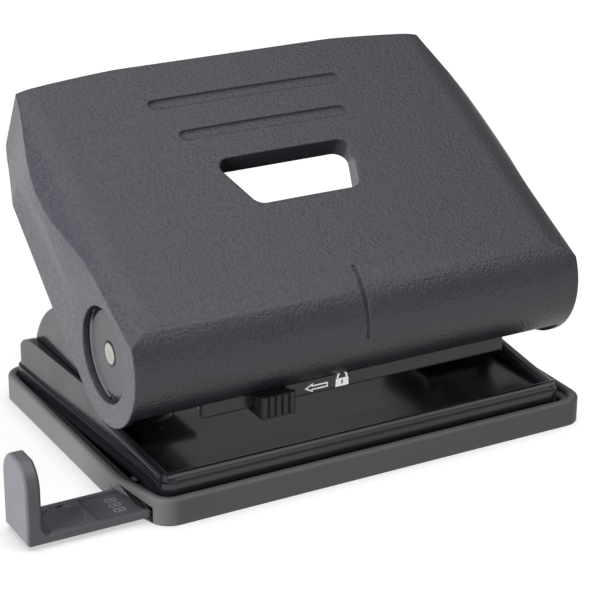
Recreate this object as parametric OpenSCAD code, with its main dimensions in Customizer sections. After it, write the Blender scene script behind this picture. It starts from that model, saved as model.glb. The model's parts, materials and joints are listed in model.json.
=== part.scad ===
// Two-hole desk punch. A pressed steel base sits in a plastic chip tray and
// carries two sprung punch pins. A steel lever under a moulded cover turns on
// an axle near the front and drives the pins down through dies in the table.
// Millimetres. +Z is up, +Y is the rear and +X is the right-hand end as the
// user faces the front. The origin is the middle of the tray's flat underside.

/* [Tray] */
// Width of the chip tray
tray_w = 120; // [112:1:130]
// Depth of the chip tray, front to rear
tray_d = 84; // [80:1:96]
// Height of the tray's rim
tray_h = 6.5; // [6.2:0.1:9]
// Thickness of the tray's floor
tray_floor = 1.0; // [0.8:0.1:1.4]
// Thickness of the tray's wall at the rim
tray_wall = 2.2; // [1.8:0.1:2.6]
// Width of the ledge inside the wall that carries the base
tray_ledge = 2.0; // [1.5:0.1:2.5]
// Radius of the tray's upright corners
tray_corner = 5.5; // [4:0.5:7]
// How far the left wall slants in at the front, beside the paper guide
tray_slant = 4.6; // [3:0.1:5.5]
// Length of the slanted stretch of the left wall
tray_slant_len = 15.3; // [12:0.1:20]

/* [Base] */
// Depth of the base's seat below the tray's rim
seat_depth = 1.1; // [0.8:0.1:1.5]
// Thickness of the base sheet
base_sheet = 1.2; // [1:0.1:1.5]
// Height of the table's top above the seat
table_rise = 3.6; // [3:0.1:5]
// Height of the front lip's top above the table
lip_rise = 1.9; // [1.2:0.1:2.6]
// Radius of the rolled lip
lip_r = 1.5; // [1.2:0.1:1.8]
// Thickness of the base's skirt
skirt_t = 1.6; // [1.2:0.1:2]
// Inset of the upper wall from the skirt
wall_step = 0.6; // [0.4:0.1:0.8]
// How much narrower each side of the base is at the front than at the rear
base_taper = 3.4; // [2.5:0.1:4.5]
// Radius of the base's upright corners
base_corner = 3.5; // [3:0.5:5]
// Height of the side shoulder above the table
shoulder_rise = 9.0; // [7:0.5:11]
// Thickness of the shoulder beside the cheek, at the rear
shoulder_t = 2.6; // [2.2:0.1:3.2]
// Rise of the side lip from the front corner to the shoulder
side_lip_rise = 2.6; // [1:0.1:4]

/* [Pivot] */
// Distance of the pivot from the tray's front edge
pivot_setback = 22; // [20:0.5:26]
// Height of the pivot above the table
pivot_rise = 25.5; // [24:0.5:30]
// Diameter of the axle
axle_d = 5.0; // [4:0.1:6]
// Thickness of each cheek plate
cheek_t = 1.5; // [1.2:0.1:1.8]
// Radius of the cheek's ear round the axle
ear_r = 8.5; // [7:0.5:9.5]
// Radius of the cheek's rounded rear hump
hump_r = 24.8; // [22:0.2:26]
// Diameter of the round boss that shows in the cover's side hole
bush_d = 20; // [17:0.5:20.5]

/* [Punch pins] */
// Distance between the two punched holes
hole_spacing = 80; // [78:0.5:82]
// Distance from the paper's edge to the middle of a hole
hole_margin = 12; // [11:0.5:13]
// Diameter of a punch pin
pin_d = 5.5; // [5:0.1:6]
// Diameter of a pin's head
head_d = 9.5; // [9:0.1:11]
// Thickness of a pin's head
head_t = 1.6; // [1.2:0.1:2]
// Gap between the table and the pin bracket that takes the paper
paper_gap = 3.4; // [2.5:0.1:4]
// Width of a pin bracket
bracket_w = 15; // [13:0.5:16]
// Sheet thickness of a pin bracket
bracket_t = 1.2; // [1:0.1:1.5]
// Outside diameter of a die
die_d = 9; // [8.5:0.1:10]
// Height of a die
die_h = 2.8; // [2.2:0.1:3]
// Thickness of a retaining clip
clip_t = 0.8; // [0.6:0.1:1]
// Wire diameter of a return spring
wire_d = 0.8; // [0.6:0.05:0.9]
// Mean diameter of a return spring
coil_d = 7.4; // [7:0.1:7.8]
// Number of turns of a return spring
coil_turns = 6; // [4:1:7]
// Diameter of a rivet's shank
rivet_d = 3.0; // [2.5:0.1:3.5]

/* [Lever] */
// Angle of the lever above level when it is up
lever_rest_deg = 28; // [26:0.5:32]
// Angle that the lever turns through in a full press
lever_press_deg = 26; // [20:0.5:27]
// Distance of the press bar from the axle
press_arm = 16.5; // [15:0.1:18]
// Diameter of the press bar
press_bar_d = 4.0; // [3:0.1:5]
// Sheet thickness of the lever
lever_t = 1.5; // [1.2:0.1:1.8]
// Length of the lever's plate behind the axle
lever_len = 50; // [46:0.5:52]
// Height of the lever's plate above the axle
lever_top = 11.5; // [10.5:0.1:11.6]

/* [Cover] */
// Radius of the cover's rounded front about the axle
cover_r = 16.8; // [16:0.1:17.5]
// Length of the cover behind the axle, at its middle
cover_len = 72; // [68:0.5:76]
// Wall thickness of the cover
cover_wall = 1.8; // [1.5:0.1:2.2]
// How far the cover's ends stand out beyond the cheeks
cover_reach = 4.8; // [4.4:0.1:5.5]
// Drop of the cover's top from the middle to its ends
cover_crown = 1.2; // [0.8:0.1:2]
// Narrowing of each end of the cover at its rear corner
cover_narrow = 3.2; // [2:0.1:4]
// Bulge of the top of each end of the cover, at the middle of its length
cover_bulge = 3.1; // [2:0.1:3.4]
// Distance from the middle where the cover's top begins to roll over towards its ends
roll_start = 52; // [50:0.5:54]
// Radius of the roll
roll_r = 14; // [13:0.5:16]
// Bow of the cover's rear edge
cover_bow = 2.9; // [2:0.1:5]
// Height of the rear lip, down from the top
rear_lip_h = 12.8; // [10:0.2:14]
// Radius of the lower rear corner of the cover's ends
tail_r = 8; // [6:0.5:9]
// Radius of the cover's top rear edge
brow_r = 2.5; // [2:0.1:3]
// Diameter of the hole in each end that shows the pivot boss
side_hole_d = 22.6; // [22:0.1:24]
// Angle ahead of straight down where the front wall ends
edge_deg = 25; // [23:0.5:28]
// Distance of the upright apron of the middle band ahead of the axle
apron_reach = 12.4; // [11:0.1:13]
// Depth of the apron's lower edge below the axle
apron_drop = 14.8; // [14:0.1:15.5]
// Half width of the middle band
band_half = 40.6; // [38:0.2:44]
// Width of the grip slot at its rear
slot_rear_w = 38.6; // [34:0.2:42]
// Width of the grip slot at its front
slot_front_w = 27.4; // [24:0.2:32]
// Distance from the axle to the front of the grip slot
slot_start = 21.2; // [19:0.2:24]
// Length of the grip slot
slot_len = 15.8; // [13:0.2:17]
// Depth of the wall round the grip slot
collar_depth = 5.5; // [4:0.1:6]
// Length of the rear grip groove
groove_len_rear = 53; // [46:1:58]
// Length of the front grip groove
groove_len_front = 46; // [40:1:52]
// Width of a grip groove
groove_w = 3.2; // [2.5:0.1:4]
// Depth of a grip groove
groove_depth = 0.7; // [0.4:0.1:0.9]
// Diameter of a cover screw
screw_d = 2.9; // [2.5:0.1:3.2]

/* [Lock] */
// Width of the lock slider's thumb piece
lock_w = 8.8; // [8:0.2:10]
// Middle of the lock slider, to the left of the punch's middle
lock_x = 23.4; // [22:0.2:24]
// Travel of the lock slider to the left
lock_travel = 8; // [6:0.5:8.5]
// Height of the thumb piece
lock_len = 5.5; // [4.5:0.1:6]
// How far the thumb piece stands out from the apron
lock_depth = 3.5; // [3:0.1:4]

/* [Paper guide] */
// Width of the guide strip
guide_w = 13.2; // [11:0.2:14]
// Thickness of the guide strip
guide_t = 1.8; // [1.5:0.1:2]
// How far the guide stands out of the tray
guide_out = 26; // [20:0.5:30]
// Length of the guide strip inside the tray
guide_in = 92; // [80:1:96]
// Height of the guide's end stop
stop_h = 19; // [15:0.5:22]
// Thickness of the guide's end stop
stop_t = 3.6; // [3:0.1:4.5]

/* [Clearances] */
// Running clearance of a shaft in its hole, on the radius
run_gap = 0.05; // [0.03:0.01:0.08]
// Fixed clearance of a pressed-in piece, on the radius
press_gap = 0.02; // [0.01:0.01:0.03]
// Gap between pieces that slide past each other
slide_gap = 0.3; // [0.2:0.05:0.4]
// Gap between pieces that rest on each other
rest_gap = 0.1; // [0.05:0.05:0.15]

/* [Hidden] */
$fn = 72;
// A cut runs this far past the face that it opens
past = 1;
// Longer than anything in the punch
far = 300;

// Heights, from the desk upwards
seat_z = tray_h - seat_depth;
table_z = seat_z + table_rise;
lip_z = table_z + lip_rise;
shoulder_z = table_z + shoulder_rise;
pivot_z = table_z + pivot_rise;

// Depths, front to rear
tray_front = -tray_d / 2;
tray_rear = tray_d / 2;
base_inset = tray_wall + 2 * slide_gap - 0.2;
base_front = tray_front + base_inset;
base_rear = tray_rear - base_inset;
pivot_y = tray_front + pivot_setback;

// Widths, from the middle outwards
base_half_rear = tray_w / 2 - tray_wall - rest_gap * 2;
base_half_front = base_half_rear - base_taper;
cheek_out = base_half_rear - wall_step - shoulder_t;
cheek_in = cheek_out - cheek_t;
lever_out = cheek_in - slide_gap - rest_gap;
lever_in = lever_out - lever_t;
cover_half = cheek_out + cover_reach;

// Punch pins, brackets and springs
hole_x = hole_spacing / 2;
lever_end_deg = lever_rest_deg - lever_press_deg;
pin_travel = press_arm * (sin(lever_rest_deg) - sin(lever_end_deg));
pin_y = pivot_y + press_arm * (cos(lever_rest_deg) + cos(lever_end_deg)) / 2;
pin_top = pivot_z + press_arm * sin(lever_rest_deg) - press_bar_d / 2 - rest_gap - run_gap;
head_z = pin_top - head_t;
low_arm_z = table_z + paper_gap;
clip_low_z = low_arm_z + bracket_t + slide_gap;
clip_z = clip_low_z + pin_travel;
high_arm_z = clip_z + clip_t + slide_gap;
spring_z = high_arm_z + bracket_t;
pin_tip_z = low_arm_z + slide_gap;
stop_y = pin_y + hole_margin;
arm_overhang = 3.3;
arm_front = pin_y - head_d / 2 - arm_overhang;
groove_cut = 0.45;

// Flat that the skirt's line leaves on the outside of the rolled lip
lip_flat = 0.2;

// Cheek outline
hump_inset = 5.5;
hump_y = base_rear - hump_r - hump_inset;
hump_z = table_z - 1;
cheek_front = -4;
heel_rise = 5.5;
cheek_heel_z = table_z + heel_rise;

// Room on the table behind the brackets, shared by their feet and the cheeks' feet
foot_inset = 5;
foot_front = stop_y + bracket_t;
foot_run = hump_y + hump_r - foot_inset - foot_front;
bracket_foot = foot_run * 0.396;

// Apron of the cover's middle band, and the lock that rides on it
apron_y = pivot_y - apron_reach;
apron_in_y = apron_y + cover_wall;
apron_z = pivot_z - apron_drop;
wall_in_r = cover_r - cover_wall;
band_deg = (asin(apron_reach / cover_r) + asin((apron_reach - cover_wall) / wall_in_r)) / 2;
rail_t = 1.4;
rail_low = apron_z + 1.2;
rail_high = rail_low + 1.4;
lock_neck = 1.3;
lock_low = apron_z - slide_gap - lock_neck;
shoe_t = 2.7;
shoe_high = rail_high + slide_gap + 1;
hook_len = 6;
hook_reach = 4.5;
keeper_gap = 2.8;

// Paper guide, in its channel in the tray
guide_z = tray_floor + slide_gap - rest_gap;
guide_front = tray_front + tray_wall + tray_ledge + slide_gap;
guide_rear = guide_front + guide_w;
stop_x = -tray_w / 2 - guide_out;
guide_end = -tray_w / 2 + guide_in;
strip_rim = 1.3;
strip_dish = 0.4;

// Plan outline of the tray, anticlockwise, with its slanted left front
tray_plan = [
    [tray_w / 2, tray_front], [tray_w / 2, tray_rear], [-tray_w / 2, tray_rear],
    [-tray_w / 2, tray_front + tray_slant_len], [-tray_w / 2 + tray_slant, tray_front]
];
// Plan outline of the base's skirt, anticlockwise, narrower at the front
base_plan = [
    [base_half_front, base_front], [base_half_rear, base_rear],
    [-base_half_rear, base_rear], [-base_half_front, base_front]
];

// Unit normal on the right of the line from a to b
function side(a, b) = let (d = b - a) [d[1], -d[0]] / norm(d);
function prev(i, n) = (i + n - 1) % n;
function next(i, n) = (i + 1) % n;
// Corners of an anticlockwise outline moved inwards by a distance
function shrink(plan, by) = [
    for (i = [0 : len(plan) - 1])
        let (
            n = len(plan),
            before = side(plan[prev(i, n)], plan[i]),
            after = side(plan[i], plan[next(i, n)])
        )
        plan[i] - by * (before + after) / (1 + before * after)
];
// Half width of the base's skirt at a given depth
function base_half(y) =
    base_half_front + (base_half_rear - base_half_front) * (y - base_front) / (base_rear - base_front);
// Ends of a line that runs along two circles on its right-hand side, a hair inside them
hair = 0.01;
function touch(c1, r1, c2, r2) =
    let (
        d = c2 - c1,
        a = max(r1 - hair, 0),
        b = max(r2 - hair, 0),
        turn = atan2(d[1], d[0]) - 90 + asin((a - b) / norm(d)),
        u = [cos(turn), sin(turn)]
    )
    [c1 + a * u, c2 + b * u];

// Outline with true round corners
module rounded(plan, r) {
    n = len(plan);
    c = shrink(plan, r);
    polygon([for (i = [0 : n - 1]) each [
        c[i] + r * side(plan[prev(i, n)], plan[i]),
        c[i] + r * side(plan[i], plan[next(i, n)])
    ]]);
    for (p = c)
        translate(p)
            circle(r);
}

// Rounded outline moved inwards all round
module inset_rounded(plan, r, by) {
    rounded(shrink(plan, by), r - by);
}

// Extrudes a side view, drawn in Y and Z, from one X to another
module along_x(from, to) {
    translate([from, 0, 0])
        rotate([90, 0, 90])
            linear_extrude(to - from)
                children();
}

// Round bar between two points
module rod(a, b, r) {
    d = b - a;
    translate(a)
        rotate([0, acos(d[2] / norm(d)), atan2(d[1], d[0])])
            cylinder(r = r, h = norm(d));
}

// Cylinder along X, centred on the middle plane
module cross_bar(half, r) {
    rotate([0, 90, 0])
        cylinder(r = r, h = 2 * half, center = true);
}

// Round rod with a domed head on top and a flat upset end below
module rivet(top, bottom, d) {
    head_r = d * 0.9;
    dome = 1.1;
    rivet_tail = 0.8;
    ball = (head_r * head_r + dome * dome) / (2 * dome);
    translate([0, 0, bottom])
        cylinder(d = d, h = top - bottom);
    intersection() {
        translate([0, 0, top + dome - ball])
            sphere(ball);
        translate([0, 0, top])
            cylinder(r = head_r, h = dome);
    }
    translate([0, 0, bottom - rivet_tail])
        cylinder(r = head_r, h = rivet_tail);
}

// Places its children at the pivot in the frame of the lever: Y along it, Z off its top
module lever_frame() {
    translate([0, pivot_y, pivot_z])
        rotate([lever_rest_deg, 0, 0])
            children();
}

// Tray

module tray() {
    color("#55565a")
    union() {
        difference() {
            union() {
                linear_extrude(tray_h)
                    rounded(tray_plan, tray_corner);
            }
            translate([0, 0, seat_z - rest_gap])
                linear_extrude(far)
                    inset_rounded(tray_plan, tray_corner, tray_wall);
            translate([0, 0, tray_floor])
                linear_extrude(far)
                    inset_rounded(tray_plan, tray_corner, tray_wall + tray_ledge);
            guide_slot();
        }
        guide_rail();
    }
}

// Mouth in the tray's left wall for the guide strip
module guide_slot() {
    translate([-far, guide_front - slide_gap, tray_floor])
        cube([far - tray_w / 2 + tray_slant + tray_wall + 2 * tray_ledge, guide_w + 2 * slide_gap,
              guide_z + guide_t + slide_gap - tray_floor]);
}

// Rail on the tray's floor that keeps the strip square and holds it down
module guide_rail() {
    rail_w = 1.4;
    lip = 0.9;
    from = -tray_w / 2 + tray_wall + tray_ledge + 0.8;
    to = guide_end - guide_in / 3;
    top = guide_z + guide_t + slide_gap;
    along_x(from, to)
        polygon([
            [guide_rear + slide_gap, tray_floor], [guide_rear + slide_gap + rail_w, tray_floor],
            [guide_rear + slide_gap + rail_w, top + 0.9], [guide_rear - lip, top + 0.9],
            [guide_rear - lip, top], [guide_rear + slide_gap, top]
        ]);
}

// Pressed steel base

module base_plate() {
    color("#17171a")
    difference() {
        union() {
            skirt();
            base_top();
        }
        for (m = [-1, 1]) {
            table_hole([m * hole_x, pin_y], die_d);
            for (p = bracket_rivet_places())
                table_hole([m * p[0], p[1]], rivet_d);
            for (p = cheek_rivet_places())
                table_hole([m * p[0], p[1]], cheek_rivet_d);
        }
    }
}

// Hole through the table for a pressed-in piece
module table_hole(at, d) {
    translate([at[0], at[1], table_z - base_sheet - past])
        cylinder(d = d + 2 * press_gap, h = base_sheet + 2 * past);
}

// Table, lips and shoulders, trimmed to the plan of the base
module base_top() {
    intersection() {
        translate([0, 0, table_z - base_sheet])
            linear_extrude(2 * shoulder_rise)
                inset_rounded(base_plan, base_corner, wall_step);
        union() {
            translate([-tray_w / 2, tray_front, table_z - base_sheet - past])
                cube([tray_w, tray_d, base_sheet + past]);
            rolled_lip();
            for (m = [0, 1])
                mirror([m, 0, 0])
                    shoulder();
        }
    }
}

// Outer skirt that stands on the tray's ledge
module skirt() {
    translate([0, 0, seat_z])
        linear_extrude(table_z - seat_z)
            difference() {
                rounded(base_plan, base_corner);
                inset_rounded(base_plan, base_corner, skirt_t);
            }
}

// Level rolled lip across the front or the rear, on its upright web
module lip_run(y, z) {
    web = 2 * lip_r - 0.6;
    along_x(-tray_w / 2, tray_w / 2)
        union() {
            translate([y, z])
                circle(lip_r);
            translate([y - web / 2, table_z - base_sheet])
                square([web, z - table_z + base_sheet]);
        }
}

// Lip round the table: level across the front and rear, rising along the sides
module rolled_lip() {
    in = wall_step + lip_r - lip_flat;
    side_r = lip_r - 0.15;
    low = lip_z - lip_r;
    high = low + side_lip_rise;
    front_y = base_front + in;
    side_end = cheek_front - 1;
    lip_run(front_y, low);
    lip_run(base_rear - in, high);
    for (s = [-1, 1])
        rod([s * (base_half(front_y) - in), front_y, low + side_r - lip_r],
            [s * (base_half(side_end) - in), side_end, high], side_r);
    // Upright webs under the side lips
    difference() {
        along_x(-tray_w / 2, tray_w / 2)
            polygon([
                [front_y, table_z - base_sheet], [side_end, table_z - base_sheet],
                [side_end, high - 0.2], [front_y, low - 0.3]
            ]);
        linear_extrude(2 * table_z)
            polygon(shrink(base_plan, wall_step + 2 * side_r - 0.6));
    }
}

// Raised shoulder along one side of the base, outside the cheek
module shoulder() {
    start = cheek_front - 5;
    rear_r = 8;
    front_r = 5;
    end = base_rear - 1.5;
    along_x(cheek_out + slide_gap - rest_gap, tray_w / 2)
        union() {
            polygon([
                [start, table_z - base_sheet], [end, table_z - base_sheet], [end, shoulder_z - rear_r],
                [end - rear_r, shoulder_z], [start + front_r, shoulder_z], [start, shoulder_z - front_r]
            ]);
            translate([end - rear_r, shoulder_z - rear_r])
                circle(rear_r);
            translate([start + front_r, shoulder_z - front_r])
                circle(front_r);
        }
}

// Cheeks, bushes and axle

// Side view of the cheek: a hump at the rear and an ear that leans forward to the axle
module cheek_side() {
    hump = [hump_y, hump_z];
    ear = [pivot_y, pivot_z];
    top = touch(hump, hump_r, ear, ear_r);
    under = touch(ear, ear_r, [cheek_front, cheek_heel_z], 0);
    difference() {
        union() {
            translate(hump)
                circle(hump_r);
            translate(ear)
                circle(ear_r);
            polygon([top[0], top[1], ear, under[0], under[1], hump]);
        }
        translate([-far, table_z - far])
            square([2 * far, far]);
        polygon([under[1], under[0], [under[0][0], -past], [cheek_front, -past]]);
        translate(ear)
            circle(axle_d / 2 + press_gap);
    }
}

// Foot of the right cheek, turned in on the table behind the bracket's foot
cheek_foot_w = 5.6;
cheek_foot_from = foot_front + bracket_foot + slide_gap;
cheek_foot_to = foot_front + foot_run;
cheek_foot_len = cheek_foot_to - cheek_foot_from;
cheek_rivet_d = cheek_foot_len / 4;
function cheek_rivet_places() = [
    for (y = [cheek_foot_from + cheek_foot_len / 4, cheek_foot_to - cheek_foot_len / 4])
        [cheek_in - cheek_foot_w / 2, y]
];

module cheek() {
    along_x(cheek_in, cheek_out)
        cheek_side();
    difference() {
        translate([cheek_in - cheek_foot_w, cheek_foot_from, table_z])
            cube([cheek_foot_w + cheek_t / 2, cheek_foot_to - cheek_foot_from, cheek_t]);
        for (p = cheek_rivet_places())
            translate([p[0], p[1], 0])
                cylinder(d = cheek_rivet_d + 2 * press_gap, h = far);
    }
}

module right_cheek() {
    color("#1b1b1e")
        cheek();
}

module left_cheek() {
    color("#1b1b1e")
        mirror([1, 0, 0])
            cheek();
}

// Boss on the outside of the right cheek, with a turned spigot for the axle
module bush() {
    boss_sink = 1.6;
    flange_t = 1;
    flange_lap = 1.2;
    face = cover_half - boss_sink;
    translate([0, pivot_y, pivot_z])
        rotate([0, 90, 0])
            difference() {
                union() {
                    translate([0, 0, cheek_out])
                        cylinder(d = bush_d, h = face - cheek_out);
                    translate([0, 0, cheek_out])
                        cylinder(d = side_hole_d + 2 * flange_lap, h = flange_t);
                }
                cylinder(d = axle_d + 2 * press_gap, h = far);
                translate([0, 0, face - 0.5])
                    cylinder(d = axle_d + 1, h = past);
            }
}

module right_bush() {
    color("#26262a")
        bush();
}

module left_bush() {
    color("#26262a")
        mirror([1, 0, 0])
            bush();
}

module axle() {
    color("#c9cacb")
        translate([0, pivot_y, pivot_z])
            cross_bar(cover_half - 1.5, axle_d / 2);
}

// Punch pins and what carries them

function bracket_rivet_places() = [
    for (x = [-1, 1]) [hole_x + x * bracket_w / 4, foot_front + bracket_foot / 2]
];

// C-shaped bracket with a guide hole in each arm, a paper stop and a riveted foot
module bracket(keeper) {
    difference() {
        union() {
            along_x(hole_x - bracket_w / 2, hole_x + bracket_w / 2)
                polygon([
                    [arm_front, low_arm_z], [stop_y, low_arm_z], [stop_y, table_z],
                    [foot_front + bracket_foot, table_z], [foot_front + bracket_foot, table_z + bracket_t],
                    [foot_front, table_z + bracket_t], [foot_front, spring_z],
                    [arm_front, spring_z], [arm_front, high_arm_z], [stop_y, high_arm_z],
                    [stop_y, low_arm_z + bracket_t], [arm_front, low_arm_z + bracket_t]
                ]);
            if (keeper)
                lock_keeper();
        }
        translate([hole_x, pin_y, table_z + bracket_t])
            cylinder(d = pin_d + 2 * run_gap, h = far);
        for (p = bracket_rivet_places())
            translate([p[0], p[1], 0])
                cylinder(d = rivet_d + 2 * press_gap, h = far);
    }
}

// Tongue of the left bracket's upper arm, with a lug turned down for the lock's hook
module lock_keeper() {
    from = lock_x + lock_w / 2 + hook_len + keeper_gap;
    to = band_half - slide_gap - rest_gap;
    lug_y = apron_in_y + rail_t - rest_gap;
    lug_z = apron_z + 3 * slide_gap;
    along_x(from, to)
        polygon([
            [lug_y, lug_z], [lug_y + bracket_t, lug_z], [lug_y + bracket_t, high_arm_z],
            [arm_front + past, high_arm_z], [arm_front + past, spring_z], [lug_y, spring_z]
        ]);
}

module right_bracket() {
    color("#8f9296")
        bracket(false);
}

module left_bracket() {
    color("#8f9296")
        mirror([1, 0, 0])
            bracket(true);
}

module bracket_rivets() {
    color("#a5a7aa")
    for (m = [0, 1])
        mirror([m, 0, 0])
            for (p = bracket_rivet_places())
                translate([p[0], p[1], 0])
                    rivet(table_z + bracket_t, table_z - base_sheet, rivet_d);
}

module cheek_rivets() {
    color("#a5a7aa")
    for (m = [0, 1])
        mirror([m, 0, 0])
            for (p = cheek_rivet_places())
                translate([p[0], p[1], 0])
                    rivet(table_z + cheek_t, table_z - base_sheet, cheek_rivet_d);
}

// Hardened ring in the table that a pin shears against
module die() {
    shear_gap = 0.08;
    translate([hole_x, pin_y, table_z - die_h])
        difference() {
            cylinder(d = die_d, h = die_h);
            translate([0, 0, -past])
                cylinder(d = pin_d + 2 * shear_gap, h = far);
            translate([0, 0, -past])
                cylinder(d = pin_d + 1, h = die_h - base_sheet + past);
        }
}

module right_die() {
    color("#6f7276")
        die();
}

module left_die() {
    color("#6f7276")
        mirror([1, 0, 0])
            die();
}

// Punch pin with a spring head, a clip groove and a vee-cut tip
module pin() {
    vee = 1.6;
    tip_land = 0.4;
    translate([hole_x, pin_y, 0])
        difference() {
            union() {
                translate([0, 0, pin_tip_z])
                    cylinder(d = pin_d, h = head_z - pin_tip_z);
                translate([0, 0, head_z])
                    cylinder(d = head_d, h = head_t);
            }
            translate([0, 0, clip_z - rest_gap / 2])
                difference() {
                    cylinder(d = pin_d + past, h = clip_t + rest_gap);
                    translate([0, 0, -past])
                        cylinder(d = pin_d - 2 * groove_cut, h = clip_t + 3 * past);
                }
            along_x(-pin_d, pin_d)
                polygon([
                    [-pin_d / 2 - past, pin_tip_z - past], [pin_d / 2 + past, pin_tip_z - past],
                    [pin_d / 2 + past, pin_tip_z], [pin_d / 2 - tip_land, pin_tip_z],
                    [0, pin_tip_z + vee], [-pin_d / 2 + tip_land, pin_tip_z], [-pin_d / 2 - past, pin_tip_z]
                ]);
        }
}

module right_pin() {
    color("#b9bbbe")
        pin();
}

module left_pin() {
    color("#b9bbbe")
        mirror([1, 0, 0])
            pin();
}

// Open retaining ring that stops the pin rising out of its bracket
module clip() {
    inner = pin_d - 2 * groove_cut + 2 * press_gap;
    translate([hole_x, pin_y, clip_z])
        difference() {
            cylinder(d = head_d - 1, h = clip_t);
            translate([0, 0, -past])
                cylinder(d = inner, h = clip_t + 2 * past);
            translate([-inner * 0.35, 0, -past])
                cube([inner * 0.7, head_d, clip_t + 2 * past]);
        }
}

module right_clip() {
    color("#3c3d40")
        clip();
}

module left_clip() {
    color("#3c3d40")
        mirror([1, 0, 0])
            clip();
}

// Return spring: one helical tube from the bracket up to the pin's head
coil_steps = 8;
wire_sides = 6;
coil_low = spring_z + wire_d / 2 + rest_gap / 2;
coil_high = head_z - wire_d / 2 - rest_gap / 2;
coil_rings = coil_turns * coil_steps;
// Point on the middle of the wire, a number of rings up
function coil_point(i) =
    let (a = 360 * i / coil_steps)
    [coil_d / 2 * cos(a), coil_d / 2 * sin(a), coil_low + (coil_high - coil_low) * i / coil_rings];
// Ring of points round the wire
function coil_ring(i) =
    let (a = 360 * i / coil_steps, c = coil_point(i))
    [for (k = [0 : wire_sides - 1])
        let (b = 360 * k / wire_sides)
        c + wire_d / 2 * [cos(b) * cos(a), cos(b) * sin(a), sin(b)]];
// Least distance between wire surfaces a turn or more apart
function coil_gap() = min([
    for (i = [0 : coil_rings - coil_steps], j = [i + coil_steps - 1 : coil_rings])
        norm(coil_point(i) - coil_point(j))
]) - wire_d;

module spring() {
    points = [for (i = [0 : coil_rings]) each coil_ring(i)];
    last = coil_rings * wire_sides;
    sides = [
        for (i = [0 : coil_rings - 1], k = [0 : wire_sides - 1])
            let (a = i * wire_sides + k, b = i * wire_sides + (k + 1) % wire_sides)
            each [[a, a + wire_sides, b], [b, a + wire_sides, b + wire_sides]]
    ];
    ends = [
        for (k = [1 : wire_sides - 2]) each [[0, k, k + 1], [last, last + k + 1, last + k]]
    ];
    translate([hole_x, pin_y, 0])
        polyhedron(points, concat(sides, ends));
}

module right_spring() {
    color("#d0d1d2")
        spring();
}

module left_spring() {
    color("#d0d1d2")
        translate([-hole_spacing, 0, 0])
            spring();
}

echo(spring_gap = coil_gap());

// Lever

screw_rows = [5, lever_len - 6];
screw_x = 34;
eye_wall = 4.5;
function screw_places() = [for (s = screw_rows, x = [-screw_x, screw_x]) [x, s]];

// Side view of one arm of the lever
module lever_side() {
    boss_r = press_bar_d / 2 + 2.5;
    eye_r = axle_d / 2 + eye_wall;
    difference() {
        union() {
            circle(eye_r);
            translate([press_arm, 0])
                circle(boss_r);
            polygon([
                [-eye_r, 0], [0, -eye_r], [press_arm, -boss_r], [press_arm + boss_r, -boss_r / 2],
                [lever_len, lever_top - 4.5], [lever_len, lever_top], [-eye_r, lever_top]
            ]);
        }
        circle(axle_d / 2 + run_gap);
        translate([press_arm, 0])
            circle(press_bar_d / 2 + press_gap);
    }
}

module lever() {
    notch_half = slot_rear_w / 2 + 3.4;
    eye_r = axle_d / 2 + eye_wall;
    color("#7d8084")
    lever_frame()
    difference() {
        union() {
            for (m = [0, 1])
                mirror([m, 0, 0])
                    along_x(lever_in, lever_out)
                        lever_side();
            translate([-lever_out, -eye_r, lever_top - lever_t])
                cube([2 * lever_out, lever_len + eye_r, lever_t]);
        }
        translate([-notch_half, slot_start - 3.6, lever_top - 2 * lever_t])
            cube([2 * notch_half, far, far]);
        for (p = screw_places())
            translate([p[0], p[1], 0])
                cylinder(d = screw_d + 2 * run_gap, h = far);
    }
}

module press_bar() {
    color("#c3c5c7")
        lever_frame()
            translate([0, press_arm, 0])
                cross_bar(lever_out, press_bar_d / 2);
}

// Cover

tail = [cover_len - tail_r - 1, cover_r - rear_lip_h - 0.7];
brow = [cover_len - brow_r, cover_r - brow_r];

// Side view of the cover, moved inwards by a wall thickness
module cover_side(by) {
    nose_r = cover_r - by;
    heel_r = tail_r - by;
    edge_r = brow_r - by;
    belly = touch([0, 0], nose_r, tail, heel_r);
    back = touch(tail, heel_r, brow, edge_r);
    polygon([
        [0, nose_r], [0, 0], belly[0], belly[1], tail, back[0], back[1], brow, brow + [0, edge_r]
    ]);
    circle(nose_r);
    translate(tail)
        circle(heel_r);
    translate(brow)
        circle(edge_r);
}

// Bows that shape the straight form: both ends, the rear edge and the crown
skim = 0.2;
// Ribs inside the rear of the cover
tail_ribs = [-48, -16, 16, 48];
tail_rib_t = 1.4;
tail_rib_off = 3;
tail_rib_low = 2;
// Places of the two grip grooves along the cover's top
groove_rear_s = 57.5;
groove_front_s = 46.3;
waist_s = 12;
bow_steps = 6;
corner_s = cover_len - cover_bow;
function end_run(s) = max(0, (s - waist_s) / (corner_s - waist_s));
function end_half(s) =
    cover_half
    + 16 * cover_bulge * pow(end_run(s) * (1 - end_run(s)), 2)
    - cover_narrow * pow(end_run(s), 2);
function rear_s(x) = cover_len - skim - cover_bow * pow(x / cover_half, 2);
function roll_drop(x) = roll_r - sqrt(pow(roll_r, 2) - pow(max(0, abs(x) - roll_start), 2));
function crown_h(x) = cover_r - skim - cover_crown * pow(x / cover_half, 2) - roll_drop(x);
// Evenly spaced values from one end of a range to the other
function spread(from, to, steps) = [for (i = [0 : steps]) from + (to - from) * i / steps];
end_places = concat([-1.2 * cover_r], spread(waist_s, corner_s, 2 * bow_steps));
rear_places = spread(end_half(corner_s), -end_half(corner_s), 2 * bow_steps);

// Plan of the cover, moved inwards by a wall thickness
module cover_ends(by) {
    last = len(end_places) - 1;
    polygon(concat(
        [for (s = end_places) [end_half(s) - by, s - by]],
        [for (i = [1 : len(rear_places) - 2]) [rear_places[i], rear_s(rear_places[i]) - by]],
        [for (i = [0 : last]) [by - end_half(end_places[last - i]), end_places[last - i] - by]]
    ));
}

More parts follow.
